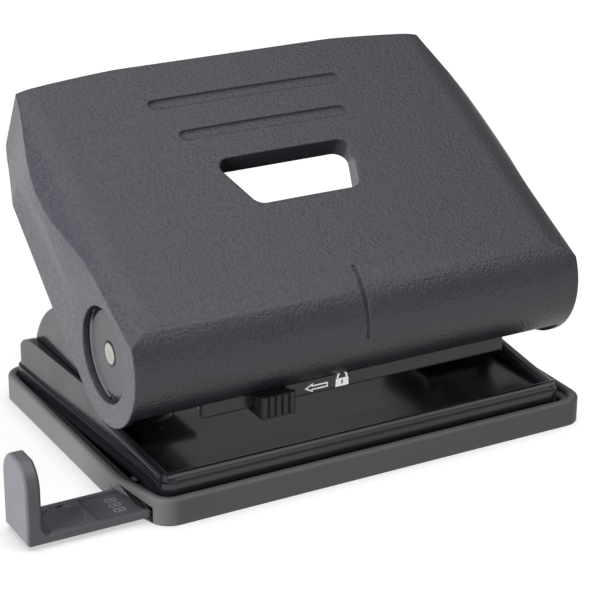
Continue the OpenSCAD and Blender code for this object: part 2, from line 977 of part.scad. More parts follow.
// Cross section of the cover under its crown, with sides that lean out to the top,
// moved inwards by a wall thickness
roll_end = cover_half + cover_bulge;
crown_side = spread(roll_end, roll_start, bow_steps);
crown_middle = spread(roll_start, -roll_start, 2 * bow_steps);
module cover_crown_section(by) {
    low = cover_half + skim - by;
    last = len(crown_middle) - 2;
    polygon(concat(
        [[low, -2 * cover_r], [low, 0]],
        [for (x = crown_side) [x - by, crown_h(x) - by]],
        [for (i = [1 : last]) [crown_middle[i], crown_h(crown_middle[i]) - by]],
        [for (i = [bow_steps : -1 : 0]) [by - crown_side[i], crown_h(crown_side[i]) - by]],
        [[-low, 0], [-low, -2 * cover_r]]
    ));
}

// Solid form of the cover, moved inwards by a wall thickness
module cover_form(by) {
    intersection() {
        along_x(-roll_end - past, roll_end + past)
            cover_side(by);
        translate([0, 0, -2 * cover_r])
            linear_extrude(4 * cover_r)
                cover_ends(by);
        translate([0, 2 * cover_len, 0])
            rotate([90, 0, 0])
                linear_extrude(4 * cover_len)
                    cover_crown_section(by);
    }
}

// Everything under the front wall's edge and under the rear lip, seen from the side
module underside(deg) {
    a = lever_rest_deg + deg;
    reach = 3 * cover_r;
    polygon([
        [0, 0], [-reach * sin(a), -reach * cos(a)], [0, -far], [far, -far],
        [far, cover_r - rear_lip_h], [0, cover_r - rear_lip_h]
    ]);
}

// Plan of the grip slot, moved outwards by a distance
module slot_plan(by) {
    slot_end = slot_start + slot_len;
    corner = 3.2;
    rounded(shrink([
        [slot_front_w / 2, slot_start], [slot_rear_w / 2, slot_end],
        [-slot_rear_w / 2, slot_end], [-slot_front_w / 2, slot_start]
    ], -by), corner + by);
}

// Shallow grip groove with round ends, even in depth over the crown
module grip_groove(s, length) {
    run = length - groove_w;
    difference() {
        translate([0, s, lever_top])
            linear_extrude(far)
                union() {
                    square([run, groove_w], center = true);
                    for (x = [-run / 2, run / 2])
                        translate([x, 0])
                            circle(d = groove_w);
                }
        cover_form(groove_depth);
    }
}

// Upright mark in the middle of the front, for lining up a folded sheet
module centre_mark() {
    mark_w = 0.9;
    mark_depth = 0.4;
    from = 22;
    to = 84;
    along_x(-mark_w / 2, mark_w / 2)
        difference() {
            polygon([
                [0, 0],
                [-2 * cover_r * cos(from), 2 * cover_r * sin(from)],
                [-2 * cover_r * cos((from + to) / 2) * 1.2, 2 * cover_r * sin((from + to) / 2) * 1.2],
                [-2 * cover_r * cos(to), 2 * cover_r * sin(to)]
            ]);
            circle(cover_r - mark_depth);
        }
}

// Upright apron under the middle of the front wall, with the rail that the lock slider runs on
module apron() {
    spare = 1.4;
    left = -lock_x - lock_w / 2 - lock_travel - slide_gap;
    meet_out = pivot_z - sqrt(pow(cover_r, 2) - pow(apron_reach, 2));
    meet_in = pivot_z - sqrt(pow(wall_in_r, 2) - pow(apron_reach - cover_wall, 2));
    lap = cover_wall * 0.3;
    along_x(-band_half, band_half)
        polygon([
            [apron_y, apron_z], [apron_in_y, apron_z],
            [apron_in_y, meet_in + lap], [apron_y, meet_out + lap]
        ]);
    along_x(left, -lock_x + lock_w / 2 + spare)
        polygon([
            [apron_in_y - cover_wall / 2, rail_low], [apron_in_y + rail_t, rail_low],
            [apron_in_y + rail_t, rail_high], [apron_in_y - cover_wall / 2, rail_high]
        ]);
}

module cover_shell() {
    collar_wall = 1.6;
    difference() {
        union() {
            difference() {
                cover_form(0);
                cover_form(cover_wall);
                cover_opening();
            }
            // Wall round the grip slot, stiffening ribs and screw bosses
            intersection() {
                cover_form(cover_wall / 2);
                union() {
                    translate([0, 0, cover_r - collar_depth])
                        linear_extrude(far)
                            slot_plan(collar_wall);
                    for (p = screw_places())
                        translate([p[0], p[1], lever_top])
                            cylinder(d = 2 * screw_d, h = far);
                    for (x = tail_ribs)
                        translate([x, lever_len + tail_rib_off, lever_top - tail_rib_low])
                            cube([tail_rib_t, far, far]);
                }
            }
        }
        translate([0, 0, -far / 2])
            linear_extrude(far)
                slot_plan(0);
        grip_groove(groove_rear_s, groove_len_rear);
        grip_groove(groove_front_s, groove_len_front);
        centre_mark();
        cross_bar(far, side_hole_d / 2);
        for (p = screw_places())
            translate([p[0], p[1], lever_top - past])
                cylinder(d = screw_d + 2 * press_gap, h = screw_grip + past);
    }
}

// Length of a cover screw inside its boss
screw_grip = 2.4;

// Open underside between the cover's end walls
module cover_opening() {
    intersection() {
        union() {
            along_x(-far, far)
                underside(band_deg);
            for (s = [-1, 1])
                translate([s * (band_half + far / 2), 0, 0])
                    along_x(-far / 2, far / 2)
                        underside(edge_deg);
        }
        translate([0, 0, -far / 2])
            linear_extrude(far)
                cover_ends(cover_wall);
        translate([0, 2 * cover_len, 0])
            rotate([90, 0, 0])
                linear_extrude(4 * cover_len)
                    cover_between(cover_wall);
    }
}

// Cross section between the cover's end walls, below its crown
module cover_between(by) {
    low = cover_half + skim - by;
    high = roll_end - by;
    top = crown_h(roll_end) - by;
    polygon([[low, -far], [low, 0], [high, top], [-high, top], [-low, 0], [-low, -far]]);
}

module cover() {
    color("#3a3b40")
    union() {
        lever_frame()
            cover_shell();
        apron();
    }
}

module cover_screws() {
    head_h = 1.8;
    color("#b0b2b5")
    lever_frame()
    for (p = screw_places())
        translate([p[0], p[1], lever_top - lever_t - head_h])
            union() {
                cylinder(d = 1.9 * screw_d, h = head_h);
                cylinder(d = screw_d, h = head_h + lever_t + screw_grip - rest_gap);
            }
}

// Lock slider, clipped round the lower edge of the apron

module lock_slider() {
    left = -lock_x - lock_w / 2;
    right = -lock_x + lock_w / 2;
    front = apron_y - slide_gap - lock_depth;
    back = apron_in_y + slide_gap;
    neck_z = apron_z - slide_gap;
    slot_back = apron_in_y + rail_t + slide_gap;
    ribs = 5;
    rib_r = lock_w / ribs / 2 - 0.08;
    color("#131315")
    union() {
        along_x(left, right)
            polygon([
                [front, lock_low], [back + shoe_t, lock_low], [back + shoe_t, shoe_high], [back, shoe_high],
                [back, rail_high + slide_gap], [slot_back, rail_high + slide_gap],
                [slot_back, rail_low - slide_gap], [back, rail_low - slide_gap], [back, neck_z],
                [apron_y - slide_gap, neck_z], [apron_y - slide_gap, lock_low + lock_len - 0.8],
                [front, lock_low + lock_len]
            ]);
        along_x(left - hook_len, left + past)
            polygon([
                [pivot_y - hook_reach, lock_low], [pivot_y - hook_reach, neck_z],
                [slot_back, neck_z], [slot_back, lock_low]
            ]);
        for (i = [0 : ribs - 1])
            translate([left + lock_w * (i + 0.5) / ribs, front, lock_low])
                cylinder(r = rib_r, h = lock_len);
    }
}

// Paper guide

module paper_guide() {
    corner = guide_w / 2 - 0.5;
    middle = (guide_front + guide_rear) / 2;
    dish_r = 4.6;
    root_r = 2.5;
    color("#4a4c55")
    difference() {
        union() {
            translate([stop_x, guide_front, guide_z])
                cube([guide_end - stop_x, guide_w, guide_t]);
            along_x(stop_x, stop_x + stop_t)
                union() {
                    translate([guide_front, guide_z])
                        square([guide_w, stop_h - corner]);
                    translate([middle, guide_z + stop_h - corner])
                        intersection() {
                            circle(guide_w / 2);
                            translate([-guide_w / 2, 0])
                                square([guide_w, corner]);
                        }
                }
            translate([stop_x + stop_t - past, guide_front, guide_z + guide_t - past])
                difference() {
                    cube([root_r + past, guide_w, root_r + past]);
                    translate([root_r + past, -past, root_r + past])
                        rotate([-90, 0, 0])
                            cylinder(r = root_r, h = guide_w + 2 * past);
                }
        }
        translate([
            stop_x + stop_t + root_r + 2 * dish_r + 2,
            guide_front + strip_rim, guide_z + guide_t - strip_dish
        ])
            cube([far, guide_w - 2 * strip_rim, far]);
        translate([stop_x + stop_t + root_r + dish_r + 0.5, middle, guide_z + guide_t - strip_dish])
            cylinder(r = dish_r, h = far);
    }
}

tray();
base_plate();
left_cheek();
right_cheek();
left_bush();
right_bush();
axle();
left_bracket();
right_bracket();
bracket_rivets();
cheek_rivets();
left_die();
right_die();
left_pin();
right_pin();
left_clip();
right_clip();
left_spring();
right_spring();
lever();
press_bar();
cover();
cover_screws();
lock_slider();
paper_guide();
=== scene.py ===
"""Looks of a two-hole desk punch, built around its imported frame."""

import json
import logging
import math
from dataclasses import dataclass
from enum import Enum
from typing import Any, Callable, Mapping, Optional, Sequence, Union

import bmesh
import bpy
from mathutils import Matrix, Vector


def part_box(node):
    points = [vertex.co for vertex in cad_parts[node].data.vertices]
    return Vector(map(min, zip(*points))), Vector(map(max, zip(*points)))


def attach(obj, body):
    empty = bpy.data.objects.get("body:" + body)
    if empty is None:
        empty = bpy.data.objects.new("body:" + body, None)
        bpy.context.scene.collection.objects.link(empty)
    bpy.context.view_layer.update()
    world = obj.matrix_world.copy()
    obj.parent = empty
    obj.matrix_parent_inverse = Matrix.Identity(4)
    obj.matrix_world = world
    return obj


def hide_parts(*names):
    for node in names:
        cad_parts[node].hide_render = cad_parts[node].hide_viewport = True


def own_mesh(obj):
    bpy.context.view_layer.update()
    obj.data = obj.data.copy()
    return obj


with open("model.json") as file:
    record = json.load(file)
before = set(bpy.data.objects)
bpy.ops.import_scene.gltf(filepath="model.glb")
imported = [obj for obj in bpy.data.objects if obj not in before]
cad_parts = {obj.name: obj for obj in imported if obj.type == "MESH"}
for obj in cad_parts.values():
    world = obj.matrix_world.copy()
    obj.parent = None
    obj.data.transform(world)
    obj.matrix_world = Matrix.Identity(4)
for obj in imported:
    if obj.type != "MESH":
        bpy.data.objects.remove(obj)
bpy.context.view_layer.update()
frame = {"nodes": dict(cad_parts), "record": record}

MM = 0.001
SEED = 7
WELD_MM = 0.002
INK_WELD_MM = 0.001
EDGE_RANGE = (0.01, 0.16)
WHITE_LIGHT = (1.0, 1.0, 1.0, 1.0)

logging.basicConfig(level=logging.INFO, format="%(message)s")
log = logging.getLogger("punch")

Value = Union["Sock", float, Sequence[float]]
Key = Union[int, str]
Loop = list[tuple[float, float]]


class Lay(Enum):
    """Direction that a ground or brushed metal is worked in."""

    ALONG_X = (1.0, 14.0, 14.0)
    ALONG_Z = (14.0, 14.0, 1.0)


class Sock:
    """One value of a shader tree, with arithmetic that adds nodes to the tree."""

    def __init__(self, tree: "Tree", socket: bpy.types.NodeSocket) -> None:
        """Keeps the tree and the output socket that carries the value."""
        self.tree = tree
        self.socket = socket

    def _math(self, operation: str, first: Value, second: Value = 0.0) -> "Sock":
        """Adds one Math node and returns its result."""
        node = self.tree.add("ShaderNodeMath", {"operation": operation}, {0: first, 1: second})
        return Sock(self.tree, node.outputs[0])

    def __add__(self, other: Value) -> "Sock":
        """Returns this value plus another."""
        return self._math("ADD", self, other)

    def __radd__(self, other: Value) -> "Sock":
        """Returns another value plus this one."""
        return self._math("ADD", other, self)

    def __sub__(self, other: Value) -> "Sock":
        """Returns this value less another."""
        return self._math("SUBTRACT", self, other)

    def __rsub__(self, other: Value) -> "Sock":
        """Returns another value less this one."""
        return self._math("SUBTRACT", other, self)

    def __mul__(self, other: Value) -> "Sock":
        """Returns this value times another."""
        return self._math("MULTIPLY", self, other)

    def __rmul__(self, other: Value) -> "Sock":
        """Returns another value times this one."""
        return self._math("MULTIPLY", other, self)

    def __abs__(self) -> "Sock":
        """Returns the value without its sign."""
        return self._math("ABSOLUTE", self)

    def ramp(self, low: float, high: float, to_low: float = 0.0, to_high: float = 1.0) -> "Sock":
        """Maps the value from one range to another and holds it there.

        Args:
            low: Value that becomes to_low.
            high: Value that becomes to_high.
            to_low: Result at low.
            to_high: Result at high.

        Returns:
            The mapped value.
        """
        node = self.tree.add(
            "ShaderNodeMapRange",
            {"clamp": True, "interpolation_type": "SMOOTHSTEP"},
            {0: self, 1: low, 2: high, 3: to_low, 4: to_high},
        )
        return Sock(self.tree, node.outputs[0])


class Tree:
    """Shader tree of one material or world, built with plain method calls."""

    def __init__(self, owner: Union[bpy.types.Material, bpy.types.World]) -> None:
        """Starts an empty tree.

        Args:
            owner: Material or world that the tree belongs to.
        """
        owner.use_nodes = True
        self.owner = owner
        self.nodes = owner.node_tree.nodes
        self.links = owner.node_tree.links
        self.nodes.clear()

    def add(
        self,
        kind: str,
        settings: Optional[Mapping[str, Any]] = None,
        inputs: Optional[Mapping[Key, Value]] = None,
    ) -> bpy.types.Node:
        """Adds a node, sets it, and then fills its sockets.

        Args:
            kind: Type name of the node.
            settings: Attributes of the node, set before the sockets.
            inputs: Values or links by socket name or number.

        Returns:
            The node.
        """
        node = self.nodes.new(kind)
        for key, value in (settings or {}).items():
            setattr(node, key, value)
        for key, value in (inputs or {}).items():
            if isinstance(value, Sock):
                self.links.new(value.socket, node.inputs[key])
            else:
                node.inputs[key].default_value = value
        return node

    def out(self, node: bpy.types.Node, key: Key = 0) -> Sock:
        """Returns one output of a node."""
        return Sock(self, node.outputs[key])

    def place(self) -> Sock:
        """Returns the coordinates of the surface in its object."""
        return self.out(self.add("ShaderNodeTexCoord"), "Object")

    def split(self, vector: Sock) -> tuple[Sock, Sock, Sock]:
        """Returns the three parts of a vector."""
        node = self.add("ShaderNodeSeparateXYZ", None, {0: vector})
        return self.out(node, 0), self.out(node, 1), self.out(node, 2)

    def stretch(self, vector: Sock, by: Sequence[float]) -> Sock:
        """Returns a vector multiplied part by part."""
        return self.out(self.add("ShaderNodeVectorMath", {"operation": "MULTIPLY"}, {0: vector, 1: by}))

    def noise(self, vector: Sock, size_mm: float, detail: float = 2.0, rough: float = 0.5) -> Sock:
        """Adds soft noise.

        Args:
            vector: Coordinates.
            size_mm: About how wide its lumps are.
            detail: How many finer layers it has.
            rough: How strong the finer layers are.

        Returns:
            The noise, from 0 to 1.
        """
        node = self.add(
            "ShaderNodeTexNoise",
            {"noise_dimensions": "3D"},
            {"Vector": vector, "Scale": 1.0 / (size_mm * MM), "Detail": detail, "Roughness": rough},
        )
        return self.out(node, 0)

    def cells(self, vector: Sock, size_mm: float, smooth: float = 0.35) -> Sock:
        """Adds a pattern of cells, rounded where they meet.

        Args:
            vector: Coordinates.
            size_mm: About how wide a cell is.
            smooth: How far the cells run into each other.

        Returns:
            The distance to the middle of the cell.
        """
        node = self.add(
            "ShaderNodeTexVoronoi",
            {"feature": "SMOOTH_F1"},
            {"Vector": vector, "Scale": 1.0 / (size_mm * MM), "Smoothness": smooth},
        )
        return self.out(node, "Distance")

    def tint(self, factor: Value, first: Value, second: Value) -> Sock:
        """Returns a colour between two."""
        node = self.add("ShaderNodeMix", {"data_type": "RGBA"}, {0: factor, 6: first, 7: second})
        return self.out(node, 2)

    def rounded(self, radius_mm: float, samples: int = 6) -> Sock:
        """Returns a normal that rounds the edges by a small radius."""
        return self.out(self.add("ShaderNodeBevel", {"samples": samples}, {"Radius": radius_mm * MM}))

    def edges(self, radius_mm: float) -> Sock:
        """Finds the edges of a piece.

        Args:
            radius_mm: How far from an edge it is still found.

        Returns:
            0 on plain faces and up to 1 along edges.
        """
        plain = self.out(self.add("ShaderNodeNewGeometry"), "Normal")
        bent = self.rounded(radius_mm)
        dot = self.add("ShaderNodeVectorMath", {"operation": "DOT_PRODUCT"}, {0: bent, 1: plain})
        return (1.0 - self.out(dot, "Value")).ramp(*EDGE_RANGE)

    def bump(self, height: Sock, depth_mm: float, strength: float, normal: Sock) -> Sock:
        """Adds a relief.

        Args:
            height: Height of the relief, from 0 to 1.
            depth_mm: Depth of the relief.
            strength: Share of the relief that shows.
            normal: Normal that it starts from.

        Returns:
            The normal with the relief.
        """
        node = self.add(
            "ShaderNodeBump",
            None,
            {"Strength": strength, "Distance": depth_mm * MM, "Height": height, "Normal": normal},
        )
        return self.out(node)

    def shader(self, kind: str, inputs: Mapping[Key, Value]) -> Sock:
        """Returns the shader of a node of the given type."""
        return self.out(self.add(kind, None, inputs))

    def blend(self, factor: Value, first: Sock, second: Sock) -> Sock:
        """Returns a shader between two."""
        return self.shader("ShaderNodeMixShader", {0: factor, 1: first, 2: second})

    def end(self, kind: str, shader: Sock) -> None:
        """Ends the tree in an output node of the given type."""
        self.add(kind, None, {"Surface": shader})

    def surface(self, inputs: Mapping[Key, Value]) -> bpy.types.Material:
        """Ends the tree in a Principled surface and returns the material."""
        self.end("ShaderNodeOutputMaterial", self.shader("ShaderNodeBsdfPrincipled", inputs))
        return self.owner


def rgba(colour: Sequence[float], by: float = 1.0) -> tuple[float, float, float, float]:
    """Returns a colour with full alpha, made lighter or darker by a factor."""
    return (min(colour[0] * by, 1.0), min(colour[1] * by, 1.0), min(colour[2] * by, 1.0), 1.0)


def grey(level: float) -> tuple[float, float, float, float]:
    """Returns a plain grey with full alpha."""
    return (level, level, level, 1.0)


@dataclass(frozen=True)
class Finish:
    """What every finish has: its name, the record's slot, a colour and an edge."""

    name: str
    slot: str
    colour: tuple[float, float, float]
    rough: float
    edge_mm: float = 0.35

    def start(self) -> Tree:
        """Returns the empty tree of a new material."""
        return Tree(bpy.data.materials.new(self.name))

    def shade(self, by: float) -> tuple[float, float, float, float]:
        """Returns the finish's colour, made lighter or darker by a factor."""
        return rgba(self.colour, by)

    def build(self) -> bpy.types.Material:
        """Returns the material of this finish."""
        raise NotImplementedError


@dataclass(frozen=True)
class GrainPlastic(Finish):
    """Moulded plastic with a leather grain, smooth on the apron, where painted shade darkens it."""

    grain_mm: float = 0.66
    depth_mm: float = 0.12
    strength: float = 1.0
    relief_shade_tint: tuple[float, float] = (0.76, 1.16)
    broad_mm: float = 26.0
    broad_tint: float = 1.12
    rub_mm: float = 2.4
    rub_tint: float = 1.8
    apron_below_mm: float = 23.4
    apron_blend_mm: float = 0.5
    apron_half_mm: tuple[float, float] = (41.2, 40.4)
    apron_shade_tint: float = 0.18
    specular: float = 0.62
    ior: float = 1.49

    def build(self) -> bpy.types.Material:
        """Makes a leather-grained plastic with rubbed edges, with painted shade in the grain's hollows and
        on the apron.

        Returns:
            The material.
        """
        tree = self.start()
        at = tree.place()
        warp = tree.noise(at, self.grain_mm * 1.6, 2.0)
        cells = tree.cells(at, self.grain_mm)
        fine = tree.noise(at, self.grain_mm * 0.35, 3.0, 0.6)
        height = (1.0 - cells) * 0.7 + warp * 0.5 + fine * 0.25
        # Painted shade and highlight: the grain's hollows are darkened and its crowns lightened, following
        # the bump's height.
        valley = height.ramp(0.45, 0.95)
        broad = tree.noise(at, self.broad_mm, 3.0).ramp(0.3, 0.7)
        rub = tree.edges(self.edge_mm * 1.6) * tree.noise(at, self.rub_mm, 3.0).ramp(0.35, 0.75)
        low, high = self.relief_shade_tint
        shade = tree.tint(valley, self.shade(low), self.shade(high))
        shade = tree.tint(broad * 0.35, shade, self.shade(self.broad_tint))
        shade = tree.tint(rub * 0.5, shade, self.shade(self.rub_tint))
        gloss = self.rough + (broad - 0.5) * 0.06 - valley * 0.07 - rub * 0.08
        # Painted shade: the apron under the nose is darkened as if the nose shaded it, and its grain and
        # roughness are lowered.
        across, _, up = tree.split(at)
        outer, inner = self.apron_half_mm
        apron = up.ramp((self.apron_below_mm + self.apron_blend_mm) * MM, self.apron_below_mm * MM)
        apron = apron * abs(across).ramp(outer * MM, inner * MM)
        shade = tree.tint(apron * 0.85, shade, self.shade(self.apron_shade_tint))
        gloss = gloss - apron * 0.1
        height = height * (1.0 - apron * 0.9)
        return tree.surface(
            {
                "Base Color": shade,
                "Roughness": gloss,
                "Normal": tree.bump(height, self.depth_mm, self.strength, tree.rounded(self.edge_mm)),
                "Specular IOR Level": self.specular,
                "IOR": self.ior,
            }
        )


@dataclass(frozen=True)
class SatinPlastic(Finish):
    """Smooth moulded plastic with a fine spark-eroded skin."""

    skin_mm: float = 0.32
    depth_mm: float = 0.02
    strength: float = 0.3
    skin_tint: float = 0.85
    flow_mm: float = 9.0
    flow_run: tuple[float, float, float] = (0.35, 1.0, 1.0)
    flow_tint: tuple[float, float] = (0.94, 1.07)
    rub_mm: float = 1.8
    rub_tint: float = 1.55
    ior: float = 1.5

    def build(self) -> bpy.types.Material:
        """Makes a satin plastic with faint flow marks and rubbed edges.

        Returns:
            The material.
        """
        tree = self.start()
        at = tree.place()
        skin = tree.noise(at, self.skin_mm, 3.0, 0.6)
        flow = tree.noise(tree.stretch(at, self.flow_run), self.flow_mm, 3.0).ramp(0.3, 0.7)
        rub = tree.edges(self.edge_mm * 1.5) * tree.noise(at, self.rub_mm, 3.0).ramp(0.3, 0.7)
        low, high = self.flow_tint
        shade = tree.tint(flow, self.shade(low), self.shade(high))
        shade = tree.tint(skin.ramp(0.3, 0.7) * 0.3, shade, self.shade(self.skin_tint))
        shade = tree.tint(rub * 0.55, shade, self.shade(self.rub_tint))
        gloss = self.rough + (flow - 0.5) * 0.07 + (skin - 0.5) * 0.12 - rub * 0.06
        normal = tree.bump(skin, self.depth_mm, self.strength, tree.rounded(self.edge_mm))
        return tree.surface({"Base Color": shade, "Roughness": gloss, "Normal": normal, "IOR": self.ior})


@dataclass(frozen=True)
class GlossPaint(Finish):
    """Stoved black paint on pressed steel."""

    peel_mm: float = 3.2
    depth_mm: float = 0.02
    strength: float = 0.25
    coat: float = 0.55
    coat_rough: float = 0.12
    dust_mm: float = 0.45
    dust_colour: tuple[float, float, float] = (0.06, 0.06, 0.065)
    smear_mm: float = 12.0
    smear_run: tuple[float, float, float] = (0.25, 1.0, 1.0)
    thin_mm: float = 1.3
    thin_colour: tuple[float, float, float] = (0.09, 0.09, 0.095)
    ior: float = 1.5

    def build(self) -> bpy.types.Material:
        """Makes a gloss paint with orange peel, fine dust and thin edges.

        Returns:
            The material.
        """
        tree = self.start()
        at = tree.place()
        peel = tree.noise(at, self.peel_mm, 2.0, 0.4)
        dust = tree.noise(at, self.dust_mm, 3.0, 0.6)
        smear = tree.noise(tree.stretch(at, self.smear_run), self.smear_mm, 3.0).ramp(0.35, 0.75)
        thin = tree.edges(self.edge_mm * 1.2) * tree.noise(at, self.thin_mm, 4.0).ramp(0.45, 0.8)
        shade = tree.tint(dust.ramp(0.62, 0.8) * 0.35, rgba(self.colour), rgba(self.dust_colour))
        shade = tree.tint(thin * 0.03, shade, rgba(self.thin_colour))
        gloss = self.rough + smear * 0.06 + (dust - 0.5) * 0.05 + thin * 0.02
        return tree.surface(
            {
                "Base Color": shade,
                "Roughness": gloss,
                "Normal": tree.bump(peel, self.depth_mm, self.strength, tree.rounded(self.edge_mm)),
                "Coat Weight": self.coat - smear * 0.2,
                "Coat Roughness": self.coat_rough,
                "IOR": self.ior,
            }
        )


@dataclass(frozen=True)
class WorkedSteel(Finish):
    """Bare or plated steel with the lines of its working."""

    lay: Lay = Lay.ALONG_Z
    line_mm: float = 0.5
    stain: float = 0.25
    line_tint: tuple[float, float] = (0.86, 1.08)
    depth_mm: float = 0.012
    strength: float = 0.3
    patch_mm: float = 4.5
    patch_tint: float = 0.6
    edge_tint: float = 1.25

    def build(self) -> bpy.types.Material:
        """Makes a steel with fine lines, darker patches and polished edges.

        Returns:
            The material.
        """
        tree = self.start()
        at = tree.place()
        lines = tree.noise(tree.stretch(at, self.lay.value), self.line_mm * 8.0, 4.0, 0.65)
        patch = tree.noise(at, self.patch_mm, 4.0, 0.6).ramp(0.4, 0.75)
        bright = tree.edges(self.edge_mm)
        low, high = self.line_tint
        shade = tree.tint(lines.ramp(0.3, 0.7), self.shade(low), self.shade(high))
        shade = tree.tint(patch * self.stain, shade, self.shade(self.patch_tint))
        shade = tree.tint(bright * 0.5, shade, self.shade(self.edge_tint))
        gloss = self.rough + (lines - 0.5) * 0.2 + patch * 0.12 - bright * 0.08
        normal = tree.bump(lines, self.depth_mm, self.strength, tree.rounded(self.edge_mm))
        return tree.surface({"Base Color": shade, "Metallic": 1.0, "Roughness": gloss, "Normal": normal})


@dataclass(frozen=True)
class PrintInk(Finish):
    """Pad-printed ink with slightly ragged cover, and an optional glow that is painted light."""

    glow: float = 0.0
    spot_mm: float = 0.35
    spot_tint: tuple[float, float] = (0.86, 1.02)
    grit_mm: float = 0.12
    depth_mm: float = 0.01
    strength: float = 0.3

    def build(self) -> bpy.types.Material:
        """Makes an ink that thins in small spots and glows by its glow share, as painted light.

        Returns:
            The material.
        """
        tree = self.start()
        at = tree.place()
        spots = tree.noise(at, self.spot_mm, 3.0, 0.6).ramp(0.3, 0.7)
        grit = tree.noise(at, self.grit_mm, 2.0)
        low, high = self.spot_tint
        return tree.surface(
            {
                "Base Color": tree.tint(spots, self.shade(low), self.shade(high)),
                "Roughness": self.rough + spots * 0.1,
                "Normal": tree.bump(grit, self.depth_mm, self.strength, tree.rounded(self.edge_mm)),
                # Painted light: the ink glows in its own colour, so it stays bright where little light
                # reaches it.
                "Emission Color": tree.tint(spots, self.shade(self.glow * low), self.shade(self.glow)),
                "Emission Strength": 1.0,
            }
        )


COVER = GrainPlastic("leather_grain_charcoal", "cover_plastic", (0.042, 0.0418, 0.052), 0.36, 0.8)
TRAY = SatinPlastic("satin_grey", "tray_plastic", (0.096, 0.096, 0.099), 0.5, 0.7)
PAINT = GlossPaint("stoved_black", "black_steel", (0.0055, 0.0048, 0.0075), 0.2, 0.6)
BOSS = SatinPlastic("satin_black_boss", "boss_plastic", (0.056, 0.056, 0.061), 0.44, 0.4)
LOCK = SatinPlastic("satin_black_lock", "lock_plastic", (0.007, 0.007, 0.009), 0.42, 0.25)
GUIDE = SatinPlastic("satin_slate", "guide_plastic", (0.098, 0.101, 0.114), 0.3, 0.45)
AXLE = WorkedSteel("turned_steel", "bright_steel", (0.66, 0.65, 0.62), 0.28, 0.3, Lay.ALONG_X, 0.3, 0.15)
GROUND = WorkedSteel("ground_steel", "bright_steel", (0.60, 0.60, 0.61), 0.24, 0.25, Lay.ALONG_Z, 0.3, 0.15)
ZINC = WorkedSteel("zinc_plate", "plated_steel", (0.44, 0.45, 0.47), 0.36, 0.3, Lay.ALONG_X, 0.8, 0.35)
WIRE = WorkedSteel("spring_wire", "bright_steel", (0.55, 0.55, 0.56), 0.3, 0.1, Lay.ALONG_Z, 0.4, 0.2)
# The white print glows a little, painted light that keeps it bright on the shaded apron.
WHITE = PrintInk("white_print", "cover_plastic", (0.86, 0.86, 0.86), 0.5, 0.03, 0.4)
PALE = PrintInk("pale_figures", "guide_plastic", (0.24, 0.246, 0.28), 0.45, 0.05)


class Wardrobe:
    """Keeps one material per finish."""

    def __init__(self) -> None:
        """Starts with no materials."""
        self._made: dict[Finish, bpy.types.Material] = {}

    def of(self, finish: Finish) -> bpy.types.Material:
        """Gives the material of a finish, made on first use.

        Args:
            finish: The finish.

        Returns:
            Its material.
        """
        if finish not in self._made:
            self._made[finish] = finish.build()
            log.info("finish %s", finish.name)
        return self._made[finish]


WARDROBE = Wardrobe()


@dataclass(frozen=True)
class Soft:
    """How a copy of a CAD mesh gets its rounded edges."""

    width_mm: float
    segments: int = 2
    sharp_deg: float = 34.0
    smooth_deg: float = 30.0
    only: Optional[Callable[[Vector], bool]] = None
    flat_deg: float = 0.4
    normal_weight: int = 50


def body_of(node: str) -> str:
    """Returns the body that carries a node."""
    bodies = frame["record"]["behaviour"]["bodies"]
    return next(name for name, nodes in bodies.items() if node in nodes)


def add_object(name: str, mesh: bpy.types.Mesh) -> bpy.types.Object:
    """Makes an object of a mesh and links it to the scene.

    Args:
        name: Name of the object.
        mesh: Its mesh.

    Returns:
        The new object.
    """
    piece = bpy.data.objects.new(name, mesh)
    bpy.context.scene.collection.objects.link(piece)
    return piece


def flatten(piece: bpy.types.Object, name: str) -> bpy.types.Object:
    """Turns an object with modifiers into one with a plain mesh.

    Args:
        piece: Object whose modifiers are worked out; it is removed.
        name: Name of the new object.

    Returns:
        The new object.
    """
    graph = bpy.context.evaluated_depsgraph_get()
    mesh = bpy.data.meshes.new_from_object(piece.evaluated_get(graph))
    old = piece.data
    bpy.data.objects.remove(piece)
    if old.users == 0:
        bpy.data.meshes.remove(old)
    mesh.name = name
    return add_object(name, mesh)


def paint(piece: bpy.types.Object, finish: Finish) -> None:
    """Gives a new piece one material."""
    piece.data.materials.clear()
    piece.data.materials.append(WARDROBE.of(finish))


